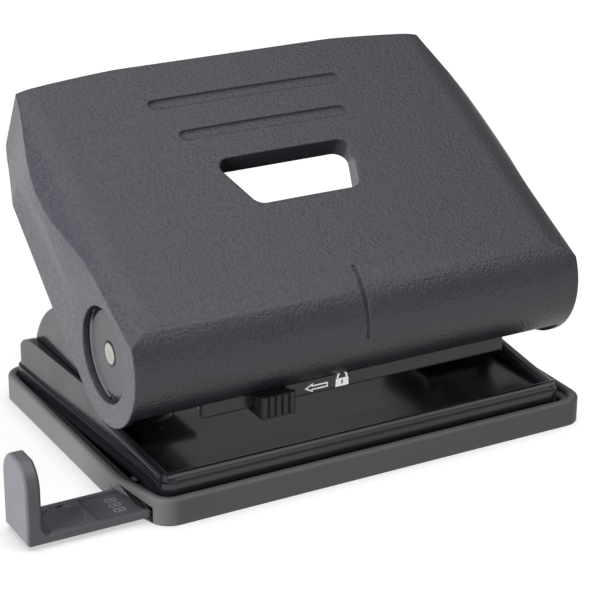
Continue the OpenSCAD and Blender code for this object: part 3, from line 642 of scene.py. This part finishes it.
class Assembly:
    """Methods shared by the sub-assemblies."""

    def carry(self, node: str, finish: Finish) -> None:
        """Keeps a CAD node and gives it a finish.

        Args:
            node: CAD node.
            finish: Its finish.
        """
        shown = frame["nodes"][node]
        if not shown.material_slots:
            shown.data.materials.append(None)
        for place in shown.material_slots:
            place.link = "OBJECT"
            place.material = WARDROBE.of(finish)
        log.info("carried %s in %s", node, finish.name)

    def settle(
        self, piece: bpy.types.Object, body: str, finish: Finish, stands_for: Sequence[str] = ()
    ) -> None:
        """Attaches a new piece to its body and hides the CAD nodes that it stands for.

        Args:
            piece: New object with its final mesh.
            body: Body that it moves with.
            finish: Not used.
            stands_for: CAD nodes that it replaces.
        """
        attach(piece, body)
        if stands_for:
            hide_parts(*stands_for)
        log.info("built %s on %s", piece.name, body)

    def clean_copy(self, node: str, soft: Soft) -> bpy.types.Mesh:
        """Copies a CAD node's mesh, merged, shaded smooth and marked for rounding.

        Args:
            node: CAD node.
            soft: Width and angles of the rounding.

        Returns:
            The copied mesh.
        """
        mesh = frame["nodes"][node].data.copy()
        for layer in ("custom_normal", "sharp_edge", "sharp_face"):
            if layer in mesh.attributes:
                mesh.attributes.remove(mesh.attributes[layer])
        work = bmesh.new()
        work.from_mesh(mesh)
        bmesh.ops.remove_doubles(work, verts=work.verts, dist=WELD_MM * MM)
        if soft.width_mm > 0:
            bmesh.ops.dissolve_limit(
                work,
                angle_limit=math.radians(soft.flat_deg),
                use_dissolve_boundaries=False,
                verts=work.verts,
                edges=work.edges,
            )
        if soft.only is not None:
            weight = work.edges.layers.float.new("bevel_weight_edge")
            for edge in work.edges:
                middle = (edge.verts[0].co + edge.verts[1].co) / 2
                sharp = edge.is_convex and edge.calc_face_angle(0.0) > math.radians(soft.sharp_deg)
                edge[weight] = 1.0 if sharp and soft.only(middle) else 0.0
        work.to_mesh(mesh)
        work.free()
        mesh.polygons.foreach_set("use_smooth", [True] * len(mesh.polygons))
        mesh.set_sharp_from_angle(angle=math.radians(soft.smooth_deg))
        return mesh

    def round_edges(self, draft: bpy.types.Object, soft: Soft) -> None:
        """Adds the modifiers that round edges and even out the shading.

        Args:
            draft: Object with a clean copy of a CAD mesh.
            soft: Width and angles of the rounding.
        """
        if soft.width_mm > 0:
            bevel = draft.modifiers.new("edges", "BEVEL")
            bevel.width = soft.width_mm * MM
            bevel.segments = soft.segments
            bevel.limit_method = "ANGLE" if soft.only is None else "WEIGHT"
            bevel.angle_limit = math.radians(soft.sharp_deg)
            bevel.use_clamp_overlap = False
            bevel.miter_outer = "MITER_ARC"
        weigh = draft.modifiers.new("weigh", "WEIGHTED_NORMAL")
        weigh.mode = "FACE_AREA"
        weigh.weight = soft.normal_weight
        weigh.keep_sharp = True

    def soften(self, node: str, finish: Finish, soft: Soft) -> bpy.types.Object:
        """Builds a copy of a CAD node with rounded edges, in the node's place.

        Args:
            node: CAD node.
            finish: Finish of the copy.
            soft: Width and angles of the rounding.

        Returns:
            The new piece.
        """
        draft = add_object(node + "_draft", self.clean_copy(node, soft))
        self.round_edges(draft, soft)
        piece = flatten(draft, node + "_soft")
        paint(piece, finish)
        self.settle(piece, body_of(node), finish, (node,))
        return piece


class GeometryTree:
    """Geometry Nodes tree with named inputs."""

    def __init__(self, name: str) -> None:
        """Starts a tree with a geometry input and a geometry output."""
        self.group = bpy.data.node_groups.new(name, "GeometryNodeTree")
        self.face = self.group.interface
        self.face.new_socket(name="Geometry", in_out="INPUT", socket_type="NodeSocketGeometry")
        self.face.new_socket(name="Geometry", in_out="OUTPUT", socket_type="NodeSocketGeometry")
        self.entry = self.group.nodes.new("NodeGroupInput")
        self.exit = self.group.nodes.new("NodeGroupOutput")

    def ask(self, name: str, kind: str = "NodeSocketFloat") -> str:
        """Adds a named input and returns its identifier."""
        return self.face.new_socket(name=name, in_out="INPUT", socket_type=kind).identifier

    def add(
        self,
        kind: str,
        settings: Optional[Mapping[str, Any]] = None,
        inputs: Optional[Mapping[Key, Any]] = None,
    ) -> bpy.types.Node:
        """Adds a node, sets it, and then fills its sockets.

        Args:
            kind: Type name of the node.
            settings: Attributes of the node, set before the sockets.
            inputs: Values or links by socket name or number.

        Returns:
            The node.
        """
        node = self.group.nodes.new(kind)
        for key, value in (settings or {}).items():
            setattr(node, key, value)
        for key, value in (inputs or {}).items():
            if isinstance(value, bpy.types.NodeSocket):
                self.group.links.new(value, node.inputs[key])
            else:
                node.inputs[key].default_value = value
        return node

    def math(self, operation: str, first: Any, second: Any) -> bpy.types.NodeSocket:
        """Returns the result of one Math node."""
        return self.add("ShaderNodeMath", {"operation": operation}, {0: first, 1: second}).outputs[0]

    def vector(self, x: Any = 0.0, y: Any = 0.0, z: Any = 0.0) -> bpy.types.NodeSocket:
        """Returns a vector of three values or links."""
        return self.add("ShaderNodeCombineXYZ", None, {0: x, 1: y, 2: z}).outputs[0]

    def close(self, geometry: bpy.types.NodeSocket, material: bpy.types.NodeSocket) -> None:
        """Ends the tree in Realize Instances and Set Material.

        Args:
            geometry: Geometry that leaves the tree.
            material: Its material.
        """
        real = self.add("GeometryNodeRealizeInstances", None, {0: geometry})
        done = self.add(
            "GeometryNodeSetMaterial", None, {"Geometry": real.outputs[0], "Material": material}
        )
        self.group.links.new(done.outputs[0], self.exit.inputs[0])

    def run(self, base: bpy.types.Mesh, name: str, values: Mapping[str, Any]) -> bpy.types.Object:
        """Works the tree out on a mesh.

        Args:
            base: Mesh that enters the tree.
            name: Name of the finished piece.
            values: Values by socket identifier.

        Returns:
            An object with a plain mesh.
        """
        draft = add_object(name + "_draft", base)
        modifier = draft.modifiers.new("rule", "NODES")
        modifier.node_group = self.group
        for key, value in values.items():
            modifier[key] = value
        draft.update_tag()
        return flatten(draft, name)


def point_mesh(name: str, places: Sequence[Sequence[float]]) -> bpy.types.Mesh:
    """Makes a mesh of loose points.

    Args:
        name: Name of the mesh.
        places: The points.

    Returns:
        The mesh.
    """
    mesh = bpy.data.meshes.new(name)
    mesh.from_pydata([tuple(p) for p in places], [], [])
    return mesh


@dataclass
class RivetRow(Assembly):
    """Domed rivets with a closing head under the table, one row for each CAD node."""

    node: str
    head_mm: float
    dome_mm: float
    tail_mm: float
    segments: int = 40
    rings: int = 28
    cap_floor: float = -0.02
    full_turn: float = 6.28

    def places(self) -> list[Vector]:
        """Finds the foot of every rivet from the node's own solids.

        Returns:
            The feet, sorted by x and then by y.
        """
        work = bmesh.new()
        work.from_mesh(frame["nodes"][self.node].data)
        bmesh.ops.remove_doubles(work, verts=work.verts, dist=WELD_MM * MM)
        left = set(work.verts)
        found = []
        while left:
            heap = [left.pop()]
            group = list(heap)
            while heap:
                for edge in heap.pop().link_edges:
                    for vert in edge.verts:
                        if vert in left:
                            left.discard(vert)
                            heap.append(vert)
                            group.append(vert)
            low = [min(v.co[i] for v in group) for i in range(3)]
            high = [max(v.co[i] for v in group) for i in range(3)]
            found.append(Vector(((low[0] + high[0]) / 2, (low[1] + high[1]) / 2, low[2])))
        work.free()
        return sorted(found, key=lambda p: (round(p.x, 4), round(p.y, 4)))

    def tree(self) -> tuple[GeometryTree, dict[str, str]]:
        """Makes the rule that sets one rivet on every point.

        Returns:
            The tree, and its input identifiers by short name.
        """
        rule = GeometryTree("rivets")
        names = {
            "radius": rule.ask("Head radius"),
            "dome": rule.ask("Dome height"),
            "tail": rule.ask("Tail height"),
            "lift": rule.ask("Lift of the dome"),
            "finish": rule.ask("Finish", "NodeSocketMaterial"),
        }
        entry = rule.entry.outputs
        radius, dome, tail = entry["Head radius"], entry["Dome height"], entry["Tail height"]
        ball = rule.add(
            "GeometryNodeMeshUVSphere",
            None,
            {"Segments": self.segments, "Rings": self.rings, "Radius": 1.0},
        )
        place = rule.add("GeometryNodeInputPosition")
        parts = rule.add("ShaderNodeSeparateXYZ", None, {0: place.outputs[0]}).outputs
        shape = rule.vector(parts[0], parts[1], rule.math("MAXIMUM", parts[2], self.cap_floor))
        cap = rule.add(
            "GeometryNodeSetPosition", None, {"Geometry": ball.outputs[0], "Position": shape}
        )
        smooth = rule.add("GeometryNodeSetShadeSmooth", None, {"Geometry": cap.outputs[0]})
        head = rule.add(
            "GeometryNodeTransform",
            None,
            {
                "Geometry": smooth.outputs[0],
                "Translation": rule.vector(z=entry["Lift of the dome"]),
                "Scale": rule.vector(radius, radius, dome),
            },
        )
        foot = rule.add(
            "GeometryNodeTransform",
            None,
            {
                "Geometry": smooth.outputs[0],
                "Translation": rule.vector(z=tail),
                "Rotation": (math.pi, 0.0, 0.0),
                "Scale": rule.vector(radius, radius, tail),
            },
        )
        pair = rule.add("GeometryNodeJoinGeometry")
        rule.group.links.new(head.outputs[0], pair.inputs[0])
        rule.group.links.new(foot.outputs[0], pair.inputs[0])
        points = rule.add("GeometryNodeMeshToPoints", None, {"Mesh": entry["Geometry"]})
        turn = rule.add(
            "FunctionNodeRandomValue",
            {"data_type": "FLOAT"},
            {"Min": 0.0, "Max": self.full_turn, "Seed": SEED},
        )
        rows = rule.add(
            "GeometryNodeInstanceOnPoints",
            None,
            {
                "Points": points.outputs[0],
                "Instance": pair.outputs[0],
                "Rotation": rule.vector(z=turn.outputs[1]),
            },
        )
        rule.close(rows.outputs[0], entry["Finish"])
        return rule, names

    def build(self, finish: Finish) -> None:
        """Sets the rivets in place of their CAD node.

        Args:
            finish: Finish of the rivets.
        """
        low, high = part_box(self.node)
        rule, names = self.tree()
        values = {
            names["radius"]: self.head_mm / 2 * MM,
            names["dome"]: self.dome_mm * MM,
            names["tail"]: self.tail_mm * MM,
            names["lift"]: (high[2] - low[2]) - self.dome_mm * MM,
            names["finish"]: WARDROBE.of(finish),
        }
        points = point_mesh(self.node + "_points", self.places())
        piece = rule.run(points, self.node + "_domed", values)
        self.settle(piece, body_of(self.node), finish, (self.node,))


@dataclass
class ReturnSpring(Assembly):
    """Coil spring round a pin, closed at both ends."""

    node: str
    joint: str
    wire_mm: float = 0.8
    turns: float = 6.0
    keep: float = 0.52
    steps: int = 40
    sides: int = 14

    def tree(self) -> tuple[GeometryTree, dict[str, str]]:
        """Makes the rule that sweeps the wire.

        Returns:
            The tree, and its input identifiers by short name.
        """
        rule = GeometryTree("coil")
        names = {
            "turns": rule.ask("Turns"),
            "radius": rule.ask("Coil radius"),
            "height": rule.ask("Height"),
            "wire": rule.ask("Wire radius"),
            "foot": rule.ask("Foot", "NodeSocketVector"),
            "finish": rule.ask("Finish", "NodeSocketMaterial"),
        }
        entry = rule.entry.outputs
        path = rule.add(
            "GeometryNodeCurveSpiral",
            None,
            {
                "Resolution": self.steps,
                "Rotations": entry["Turns"],
                "Start Radius": entry["Coil radius"],
                "End Radius": entry["Coil radius"],
                "Height": entry["Height"],
            },
        )
        ring = rule.add(
            "GeometryNodeCurvePrimitiveCircle",
            None,
            {"Resolution": self.sides, "Radius": entry["Wire radius"]},
        )
        tube = rule.add(
            "GeometryNodeCurveToMesh",
            None,
            {"Curve": path.outputs[0], "Profile Curve": ring.outputs[0], "Fill Caps": True},
        )
        smooth = rule.add("GeometryNodeSetShadeSmooth", None, {"Geometry": tube.outputs[0]})
        moved = rule.add(
            "GeometryNodeTransform", None, {"Geometry": smooth.outputs[0], "Translation": entry["Foot"]}
        )
        rule.close(moved.outputs[0], entry["Finish"])
        return rule, names

    def build(self, finish: Finish) -> None:
        """Winds the spring in its CAD node's place.

        Args:
            finish: Finish of the wire.
        """
        low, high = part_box(self.node)
        wire = self.wire_mm / 2 * MM
        middle = ((low[0] + high[0]) / 2, (low[1] + high[1]) / 2, low[2])
        rule, names = self.tree()
        values = {
            names["turns"]: self.turns,
            names["radius"]: (high[0] - low[0]) / 2 - wire,
            names["height"]: (high[2] - low[2]) - 2 * wire,
            names["wire"]: wire,
            names["foot"]: (middle[0], middle[1], middle[2] + wire),
            names["finish"]: WARDROBE.of(finish),
        }
        piece = rule.run(point_mesh(self.node + "_seed", [middle]), self.node + "_coil", values)
        self.settle(piece, body_of(self.node), finish, (self.node,))
        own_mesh(piece)


@dataclass
class TrayAssembly(Assembly):
    """Chip tray with its rounded rim."""

    width_mm: float = 0.7
    foot_mm: float = 1.0

    def build(self) -> None:
        """Builds the tray with soft edges."""
        self.soften("tray", TRAY, Soft(self.width_mm, 3, only=self.above_foot))

    def above_foot(self, middle: Vector) -> bool:
        """Tells whether an edge lies above the tray's resting edge."""
        return middle.z > self.foot_mm * MM


def flatten_text(draft: bpy.types.Object, name: str) -> bpy.types.Object:
    """Turns a text object into a plain mesh object.

    Args:
        draft: Text object; it is removed.
        name: Name of the new object.

    Returns:
        The new object.
    """
    graph = bpy.context.evaluated_depsgraph_get()
    mesh = bpy.data.meshes.new_from_object(draft.evaluated_get(graph))
    curve = draft.data
    bpy.data.objects.remove(draft)
    bpy.data.curves.remove(curve)
    mesh.name = name
    work = bmesh.new()
    work.from_mesh(mesh)
    bmesh.ops.remove_doubles(work, verts=work.verts, dist=INK_WELD_MM * MM)
    bmesh.ops.recalc_face_normals(work, faces=work.faces)
    work.to_mesh(mesh)
    work.free()
    return add_object(name, mesh)


@dataclass
class GuideAssembly(Assembly):
    """Paper guide with its end stop, the thumb dish and the figures."""

    width_mm: float = 0.6
    channel_mm: float = -63.0
    floor_mm: float = 2.6
    figures: str = "888"
    figure_mm: float = 3.1
    figure_em: float = 1.4
    figure_space: float = 1.15
    figure_x_mm: float = -62.4
    figure_turn_deg: float = -90.0
    ink_mm: float = 0.05

    def build(self) -> None:
        """Builds the strip and prints the figures on it."""
        self.soften("paper_guide", GUIDE, Soft(self.width_mm, 3, only=self.outside))
        self.print_figures()

    def outside(self, middle: Vector) -> bool:
        """Tells whether an edge lies outside the tray's channel."""
        return middle.x < self.channel_mm * MM

    def print_figures(self) -> None:
        """Sets the figures flat on the strip's floor, read from the right."""
        low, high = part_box("paper_guide")
        curve = bpy.data.curves.new("guide_figures", "FONT")
        curve.body = self.figures
        curve.size = self.figure_mm * MM * self.figure_em
        curve.align_x = "CENTER"
        curve.align_y = "CENTER"
        curve.extrude = self.ink_mm * MM
        curve.space_character = self.figure_space
        draft = bpy.data.objects.new("guide_figures_draft", curve)
        bpy.context.scene.collection.objects.link(draft)
        piece = flatten_text(draft, "guide_figures")
        turn = Matrix.Rotation(math.radians(self.figure_turn_deg), 4, "Z")
        place = (self.figure_x_mm * MM, (low[1] + high[1]) / 2, self.floor_mm * MM)
        piece.data.transform(Matrix.Translation(place) @ turn)
        paint(piece, PALE)
        self.settle(piece, "guide", PALE)


@dataclass
class BaseAssembly(Assembly):
    """Pressed base with its cheeks, brackets, dies, rivets and axle."""

    plate: Soft = Soft(0.0, 2, 34.0, 62.0)
    cheek: Soft = Soft(0.3, 2)
    boss: Soft = Soft(0.35, 3)
    flange_mm: float = 11.9
    flange_more_mm: float = 1.9
    rivets: tuple[RivetRow, ...] = (
        RivetRow("bracket_rivets", 5.4, 1.1, 0.8),
        RivetRow("cheek_rivets", 5.35, 1.1, 0.8),
    )

    def build(self) -> None:
        """Dresses the base and builds its small parts."""
        self.soften("base_plate", PAINT, self.plate)
        for side in ("left", "right"):
            self.soften(side + "_cheek", PAINT, self.cheek)
            self.widen(self.soften(side + "_bush", BOSS, self.boss), side + "_bush")
            self.carry(side + "_bracket", ZINC)
            self.carry(side + "_die", GROUND)
        self.carry("axle", AXLE)
        for row in self.rivets:
            row.build(ZINC)

    def widen(self, boss: bpy.types.Object, node: str) -> None:
        """Lets a boss's flange reach further behind the cover's end, so that nothing shows past it.

        Args:
            boss: Softened boss.
            node: CAD node that it stands for.
        """
        low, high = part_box(node)
        middle = (low + high) / 2
        for vertex in boss.data.vertices:
            out = Vector((0.0, vertex.co.y - middle.y, vertex.co.z - middle.z))
            if out.length > self.flange_mm * MM:
                vertex.co += out.normalized() * self.flange_more_mm * MM


@dataclass
class PunchAssembly(Assembly):
    """One punch pin with its clip and its return spring."""

    side: str

    def build(self) -> None:
        """Dresses the pin and the clip and winds the spring."""
        self.carry(self.side + "_pin", GROUND)
        self.carry(self.side + "_clip", ZINC)
        ReturnSpring(self.side + "_spring", self.side + "_pin_slide").build(WIRE)


class Sign(Enum):
    """Printed marks beside the lock."""

    PADLOCK = "padlock"
    ARROW = "arrow"


def bow(x: float, z: float, radii: Sequence[float], angles: Sequence[float]) -> Loop:
    """Returns the points of an upright oval at the given angles in degrees."""
    turns = [math.radians(angle) for angle in angles]
    return [(x + radii[0] * math.cos(a), z + radii[1] * math.sin(a)) for a in turns]


@dataclass
class HandleAssembly(Assembly):
    """Lever, press bar and grained cover with the printed signs."""

    cover: Soft = Soft(0.0, 2, 34.0, 34.0)
    apron_y_mm: float = -32.4
    ink_mm: float = 0.06
    lock_x_mm: tuple[float, float] = (-6.1, -2.6)
    lock_z_mm: tuple[float, float] = (20.0, 22.0)
    lock_taper_mm: float = 0.1
    key_r_mm: float = 0.32
    key_z_mm: float = 21.25
    key_foot_mm: tuple[float, float] = (0.26, 20.5)
    shackle_z_mm: float = 22.35
    shackle_out_mm: tuple[float, float] = (1.42, 1.35)
    shackle_in_mm: tuple[float, float] = (0.98, 0.95)
    arrow_x_mm: tuple[float, float, float] = (-14.4, -12.2, -8.2)
    arrow_z_mm: float = 21.2
    arrow_half_mm: tuple[float, float] = (1.15, 0.6)
    arrow_tip_in_mm: float = 0.75
    arrow_line_mm: float = 0.3
    arrow_in_half_mm: tuple[float, float] = (0.62, 0.28)

    def build(self) -> None:
        """Dresses the handle and prints the signs."""
        self.soften("cover", COVER, self.cover)
        self.carry("lever", ZINC)
        self.carry("press_bar", GROUND)
        self.carry("cover_screws", ZINC)
        self.print_sign(Sign.PADLOCK, self.padlock())
        self.print_sign(Sign.ARROW, self.arrow())

    def padlock(self) -> list[tuple[Loop, Loop]]:
        """Draws the padlock in millimetres on the apron.

        Returns:
            Its outlines with their holes.
        """
        (left, right), (low, top), lean = self.lock_x_mm, self.lock_z_mm, self.lock_taper_mm
        middle = (left + right) / 2
        body = [(left, low), (right, low), (right - lean, top), (left + lean, top)]
        key_half, key_low = self.key_foot_mm
        round_key = [-60 + 30 * i for i in range(11)]
        hole = bow(middle, self.key_z_mm, (self.key_r_mm, self.key_r_mm), round_key)
        hole += [(middle - key_half, key_low), (middle + key_half, key_low)]
        steps = [180 * i / 14 for i in range(15)]
        far, near = self.shackle_out_mm[0], self.shackle_in_mm[0]
        outer = bow(middle, self.shackle_z_mm, self.shackle_out_mm, steps)
        inner = bow(middle, self.shackle_z_mm, self.shackle_in_mm, steps[::-1])
        shackle = [(middle + far, top)] + outer + [(middle - far, top)]
        shackle += [(middle - near, top)] + inner + [(middle + near, top)]
        return [(body, hole), (shackle, [])]

    def arrow_loop(self, tip: float, neck: float, tail: float, half: Sequence[float]) -> Loop:
        """Draws one line round an arrow that points to the left.

        Args:
            tip: Place of the tip.
            neck: Place where the head ends.
            tail: Place where the shaft ends.
            half: Half widths of the head and of the shaft.

        Returns:
            The line's points.
        """
        barb, shaft = half
        upper = [(neck, barb), (neck, shaft), (tail, shaft)]
        rise = [(tip, 0.0)] + upper + [(x, -z) for x, z in reversed(upper)]
        return [(x, self.arrow_z_mm + z) for x, z in rise]

    def arrow(self) -> list[tuple[Loop, Loop]]:
        """Draws the outline arrow, which points to the lock's side.

        Returns:
            Its outline with its hole.
        """
        tip, neck, tail = self.arrow_x_mm
        line = self.arrow_line_mm
        outer = self.arrow_loop(tip, neck, tail, self.arrow_half_mm)
        inner = self.arrow_loop(
            tip + self.arrow_tip_in_mm, neck - line, tail - line, self.arrow_in_half_mm
        )
        return [(outer, inner)]

    def print_sign(self, sign: Sign, shapes: Sequence[tuple[Loop, Loop]]) -> None:
        """Lays one printed sign on the apron as a thin film.

        Args:
            sign: Which sign.
            shapes: Outlines with an optional hole each, as (x, z) in millimetres.
        """
        work = bmesh.new()
        for outer, inner in shapes:
            loops = [outer] + ([inner] if inner else [])
            edges = []
            for loop in loops:
                verts = [work.verts.new((x * MM, self.apron_y_mm * MM, z * MM)) for x, z in loop]
                after = verts[1:] + verts[:1]
                edges += [work.edges.new(ends) for ends in zip(verts, after)]
            bmesh.ops.triangle_fill(work, use_beauty=True, use_dissolve=False, edges=edges)
        flat = bmesh.ops.extrude_face_region(work, geom=list(work.faces))
        moved = [v for v in flat["geom"] if isinstance(v, bmesh.types.BMVert)]
        bmesh.ops.translate(work, verts=moved, vec=(0.0, -self.ink_mm * MM, 0.0))
        bmesh.ops.recalc_face_normals(work, faces=work.faces)
        mesh = bpy.data.meshes.new("sign_" + sign.value)
        work.to_mesh(mesh)
        work.free()
        piece = add_object("sign_" + sign.value, mesh)
        paint(piece, WHITE)
        self.settle(piece, "handle", WHITE)


@dataclass
class LockAssembly(Assembly):
    """Ribbed lock slider."""

    soft: Soft = Soft(0.16, 2)

    def build(self) -> None:
        """Builds the slider with soft edges."""
        self.soften("lock_slider", LOCK, self.soft)


@dataclass(frozen=True)
class Lamp:
    """One soft box of the studio."""

    name: str
    place: tuple[float, float, float]
    aim: tuple[float, float, float]
    size: tuple[float, float]
    power: float
    spares: str = ""
    mirrored: bool = True

    def build(self) -> None:
        """Hangs the soft box, aims it, and keeps it off the object that it spares."""
        data = bpy.data.lights.new(self.name, "AREA")
        data.shape = "RECTANGLE"
        data.size, data.size_y = self.size
        data.energy = self.power
        lamp = bpy.data.objects.new(self.name, data)
        turn = (Vector(self.aim) - Vector(self.place)).to_track_quat("-Z", "Y")
        lamp.matrix_world = Matrix.Translation(self.place) @ turn.to_matrix().to_4x4()
        lamp.visible_glossy = self.mirrored
        bpy.context.scene.collection.objects.link(lamp)
        if self.spares:
            lit = bpy.data.collections.new(self.name + "_spares")
            lit.objects.link(bpy.data.objects[self.spares])
            lit.collection_objects[0].light_linking.link_state = "EXCLUDE"
            lamp.light_linking.receiver_collection = lit
        log.info("lamp %s", self.name)


@dataclass
class Studio:
    """White table, soft boxes and the camera of the photograph."""

    focal_px: float = 2113.01
    picture_px: float = 590.0
    elevation_deg: float = 22.511
    azimuth_deg: float = 29.336
    roll_deg: float = 0.428
    distance_mm: float = 515.085
    target_mm: tuple[float, float, float] = (0.0, -2.0, 30.872)
    lamps: tuple[Lamp, ...] = (
        Lamp("key_left", (-0.95, -0.14, 0.3), (0.0, 0.0, 0.04), (0.9, 0.7), 26.5, "table_top", False),
        Lamp("top", (0.05, -0.05, 0.95), (0.0, 0.0, 0.03), (1.2, 0.9), 3.2),
        Lamp("fill_front", (0.5, -0.55, 0.8), (0.0, 0.0, 0.03), (0.8, 0.5), 1.6),
    )
    ambient: float = 0.13
    mirrored: float = 0.2
    table_reach: float = 3.0
    table_paper_mm: float = 0.8
    table_paper: tuple[float, float] = (0.93, 0.97)
    table_glow: float = 1.7
    table_glow_share: float = 0.5
    table_dim: float = 0.1
    table_mirrored: float = 0.85
    contact_mm: float = 11.0
    contact_shadow_grey: float = 0.66
    sensor_mm: float = 36.0
    clip_m: tuple[float, float] = (0.01, 20.0)

    def build(self) -> None:
        """Sets up the whole studio."""
        for name in ("Cube", "Light", "Camera"):
            spare = bpy.data.objects.get(name)
            if spare is not None and name not in frame["nodes"]:
                bpy.data.objects.remove(spare)
        self.look()
        self.world()
        self.floor()
        for lamp in self.lamps:
            lamp.build()
        self.camera()

    def look(self) -> None:
        """Shows plain colours."""
        bpy.context.scene.view_settings.view_transform = "Standard"

    def world(self) -> None:
        """Makes a world that looks white and lights softly."""
        room = bpy.data.worlds.new("white_room")
        bpy.context.scene.world = room
        tree = Tree(room)
        rays = tree.add("ShaderNodeLightPath")
        seen = tree.add(
            "ShaderNodeMath",
            {"operation": "MAXIMUM"},
            {0: tree.out(rays, "Is Camera Ray"), 1: tree.out(rays, "Is Transmission Ray")},
        )
        share = tree.add(
            "ShaderNodeMath",
            {"operation": "MULTIPLY_ADD", "use_clamp": True},
            {0: tree.out(rays, "Is Glossy Ray"), 1: self.mirrored, 2: tree.out(seen)},
        )
        soft = tree.shader("ShaderNodeBackground", {"Color": WHITE_LIGHT, "Strength": self.ambient})
        white = tree.shader("ShaderNodeBackground", {"Color": WHITE_LIGHT})
        tree.end("ShaderNodeOutputWorld", tree.blend(tree.out(share), soft, white))

    def floor(self) -> None:
        """Lays a white table: a glowing half with a painted contact shadow, over a matte half that takes
        real shadows.
        """
        far = self.table_reach
        corners = [(-far, -far, 0.0), (far, -far, 0.0), (far, far, 0.0), (-far, far, 0.0)]
        mesh = bpy.data.meshes.new("table_top")
        mesh.from_pydata(corners, [], [(0, 1, 2, 3)])
        table = add_object("table_top", mesh)
        tree = Tree(bpy.data.materials.new("white_table"))
        paper = tree.noise(tree.place(), self.table_paper_mm, 3.0).ramp(0.2, 0.8)
        low, high = self.table_paper
        matte = tree.shader("ShaderNodeBsdfDiffuse", {"Color": tree.tint(paper, grey(low), grey(high))})
        # Painted shadow: the glow turns grey where the AO node finds parts close by.
        near = tree.add("ShaderNodeAmbientOcclusion", None, {"Distance": self.contact_mm * MM})
        free = tree.out(near, "AO").ramp(0.3, 0.9)
        white = tree.tint(free, grey(self.contact_shadow_grey), WHITE_LIGHT)
        glow = tree.shader("ShaderNodeEmission", {"Color": white, "Strength": self.table_glow})
        seen = tree.blend(self.table_glow_share, matte, glow)
        dim = tree.shader("ShaderNodeBsdfDiffuse", {"Color": grey(self.table_dim)})
        bounce = tree.shader(
            "ShaderNodeEmission", {"Color": WHITE_LIGHT, "Strength": self.table_mirrored}
        )
        rays = tree.add("ShaderNodeLightPath")
        shiny = tree.blend(tree.out(rays, "Is Glossy Ray"), dim, bounce)
        whole = tree.blend(tree.out(rays, "Is Camera Ray"), shiny, seen)
        tree.end("ShaderNodeOutputMaterial", whole)
        mesh.materials.append(tree.owner)

    def camera(self) -> None:
        """Sets the camera where the photograph was taken from."""
        angles = (self.elevation_deg, self.azimuth_deg, self.roll_deg)
        rise, turn, roll = (math.radians(angle) for angle in angles)
        level = math.cos(rise)
        back = Vector((-math.sin(turn) * level, -math.cos(turn) * level, math.sin(rise)))
        right = Vector((math.cos(turn), -math.sin(turn), 0.0))
        up = back.cross(right)
        across = math.cos(roll) * right + math.sin(roll) * up
        upward = -math.sin(roll) * right + math.cos(roll) * up
        data = bpy.data.cameras.new("camera")
        data.sensor_fit = "HORIZONTAL"
        data.sensor_width = self.sensor_mm
        data.lens = self.focal_px / self.picture_px * self.sensor_mm
        data.clip_start, data.clip_end = self.clip_m
        camera = bpy.data.objects.new("camera", data)
        place = Vector(self.target_mm) * MM + back * self.distance_mm * MM
        camera.matrix_world = Matrix(
            (
                (across.x, upward.x, back.x, place.x),
                (across.y, upward.y, back.y, place.y),
                (across.z, upward.z, back.z, place.z),
                (0.0, 0.0, 0.0, 1.0),
            )
        )
        bpy.context.scene.collection.objects.link(camera)
        bpy.context.scene.camera = camera


def main() -> None:
    """Builds every sub-assembly and the studio."""
    Studio().build()
    TrayAssembly().build()
    GuideAssembly().build()
    BaseAssembly().build()
    HandleAssembly().build()
    for side in ("left", "right"):
        PunchAssembly(side).build()
    LockAssembly().build()


if __name__ == "__main__":
    main()
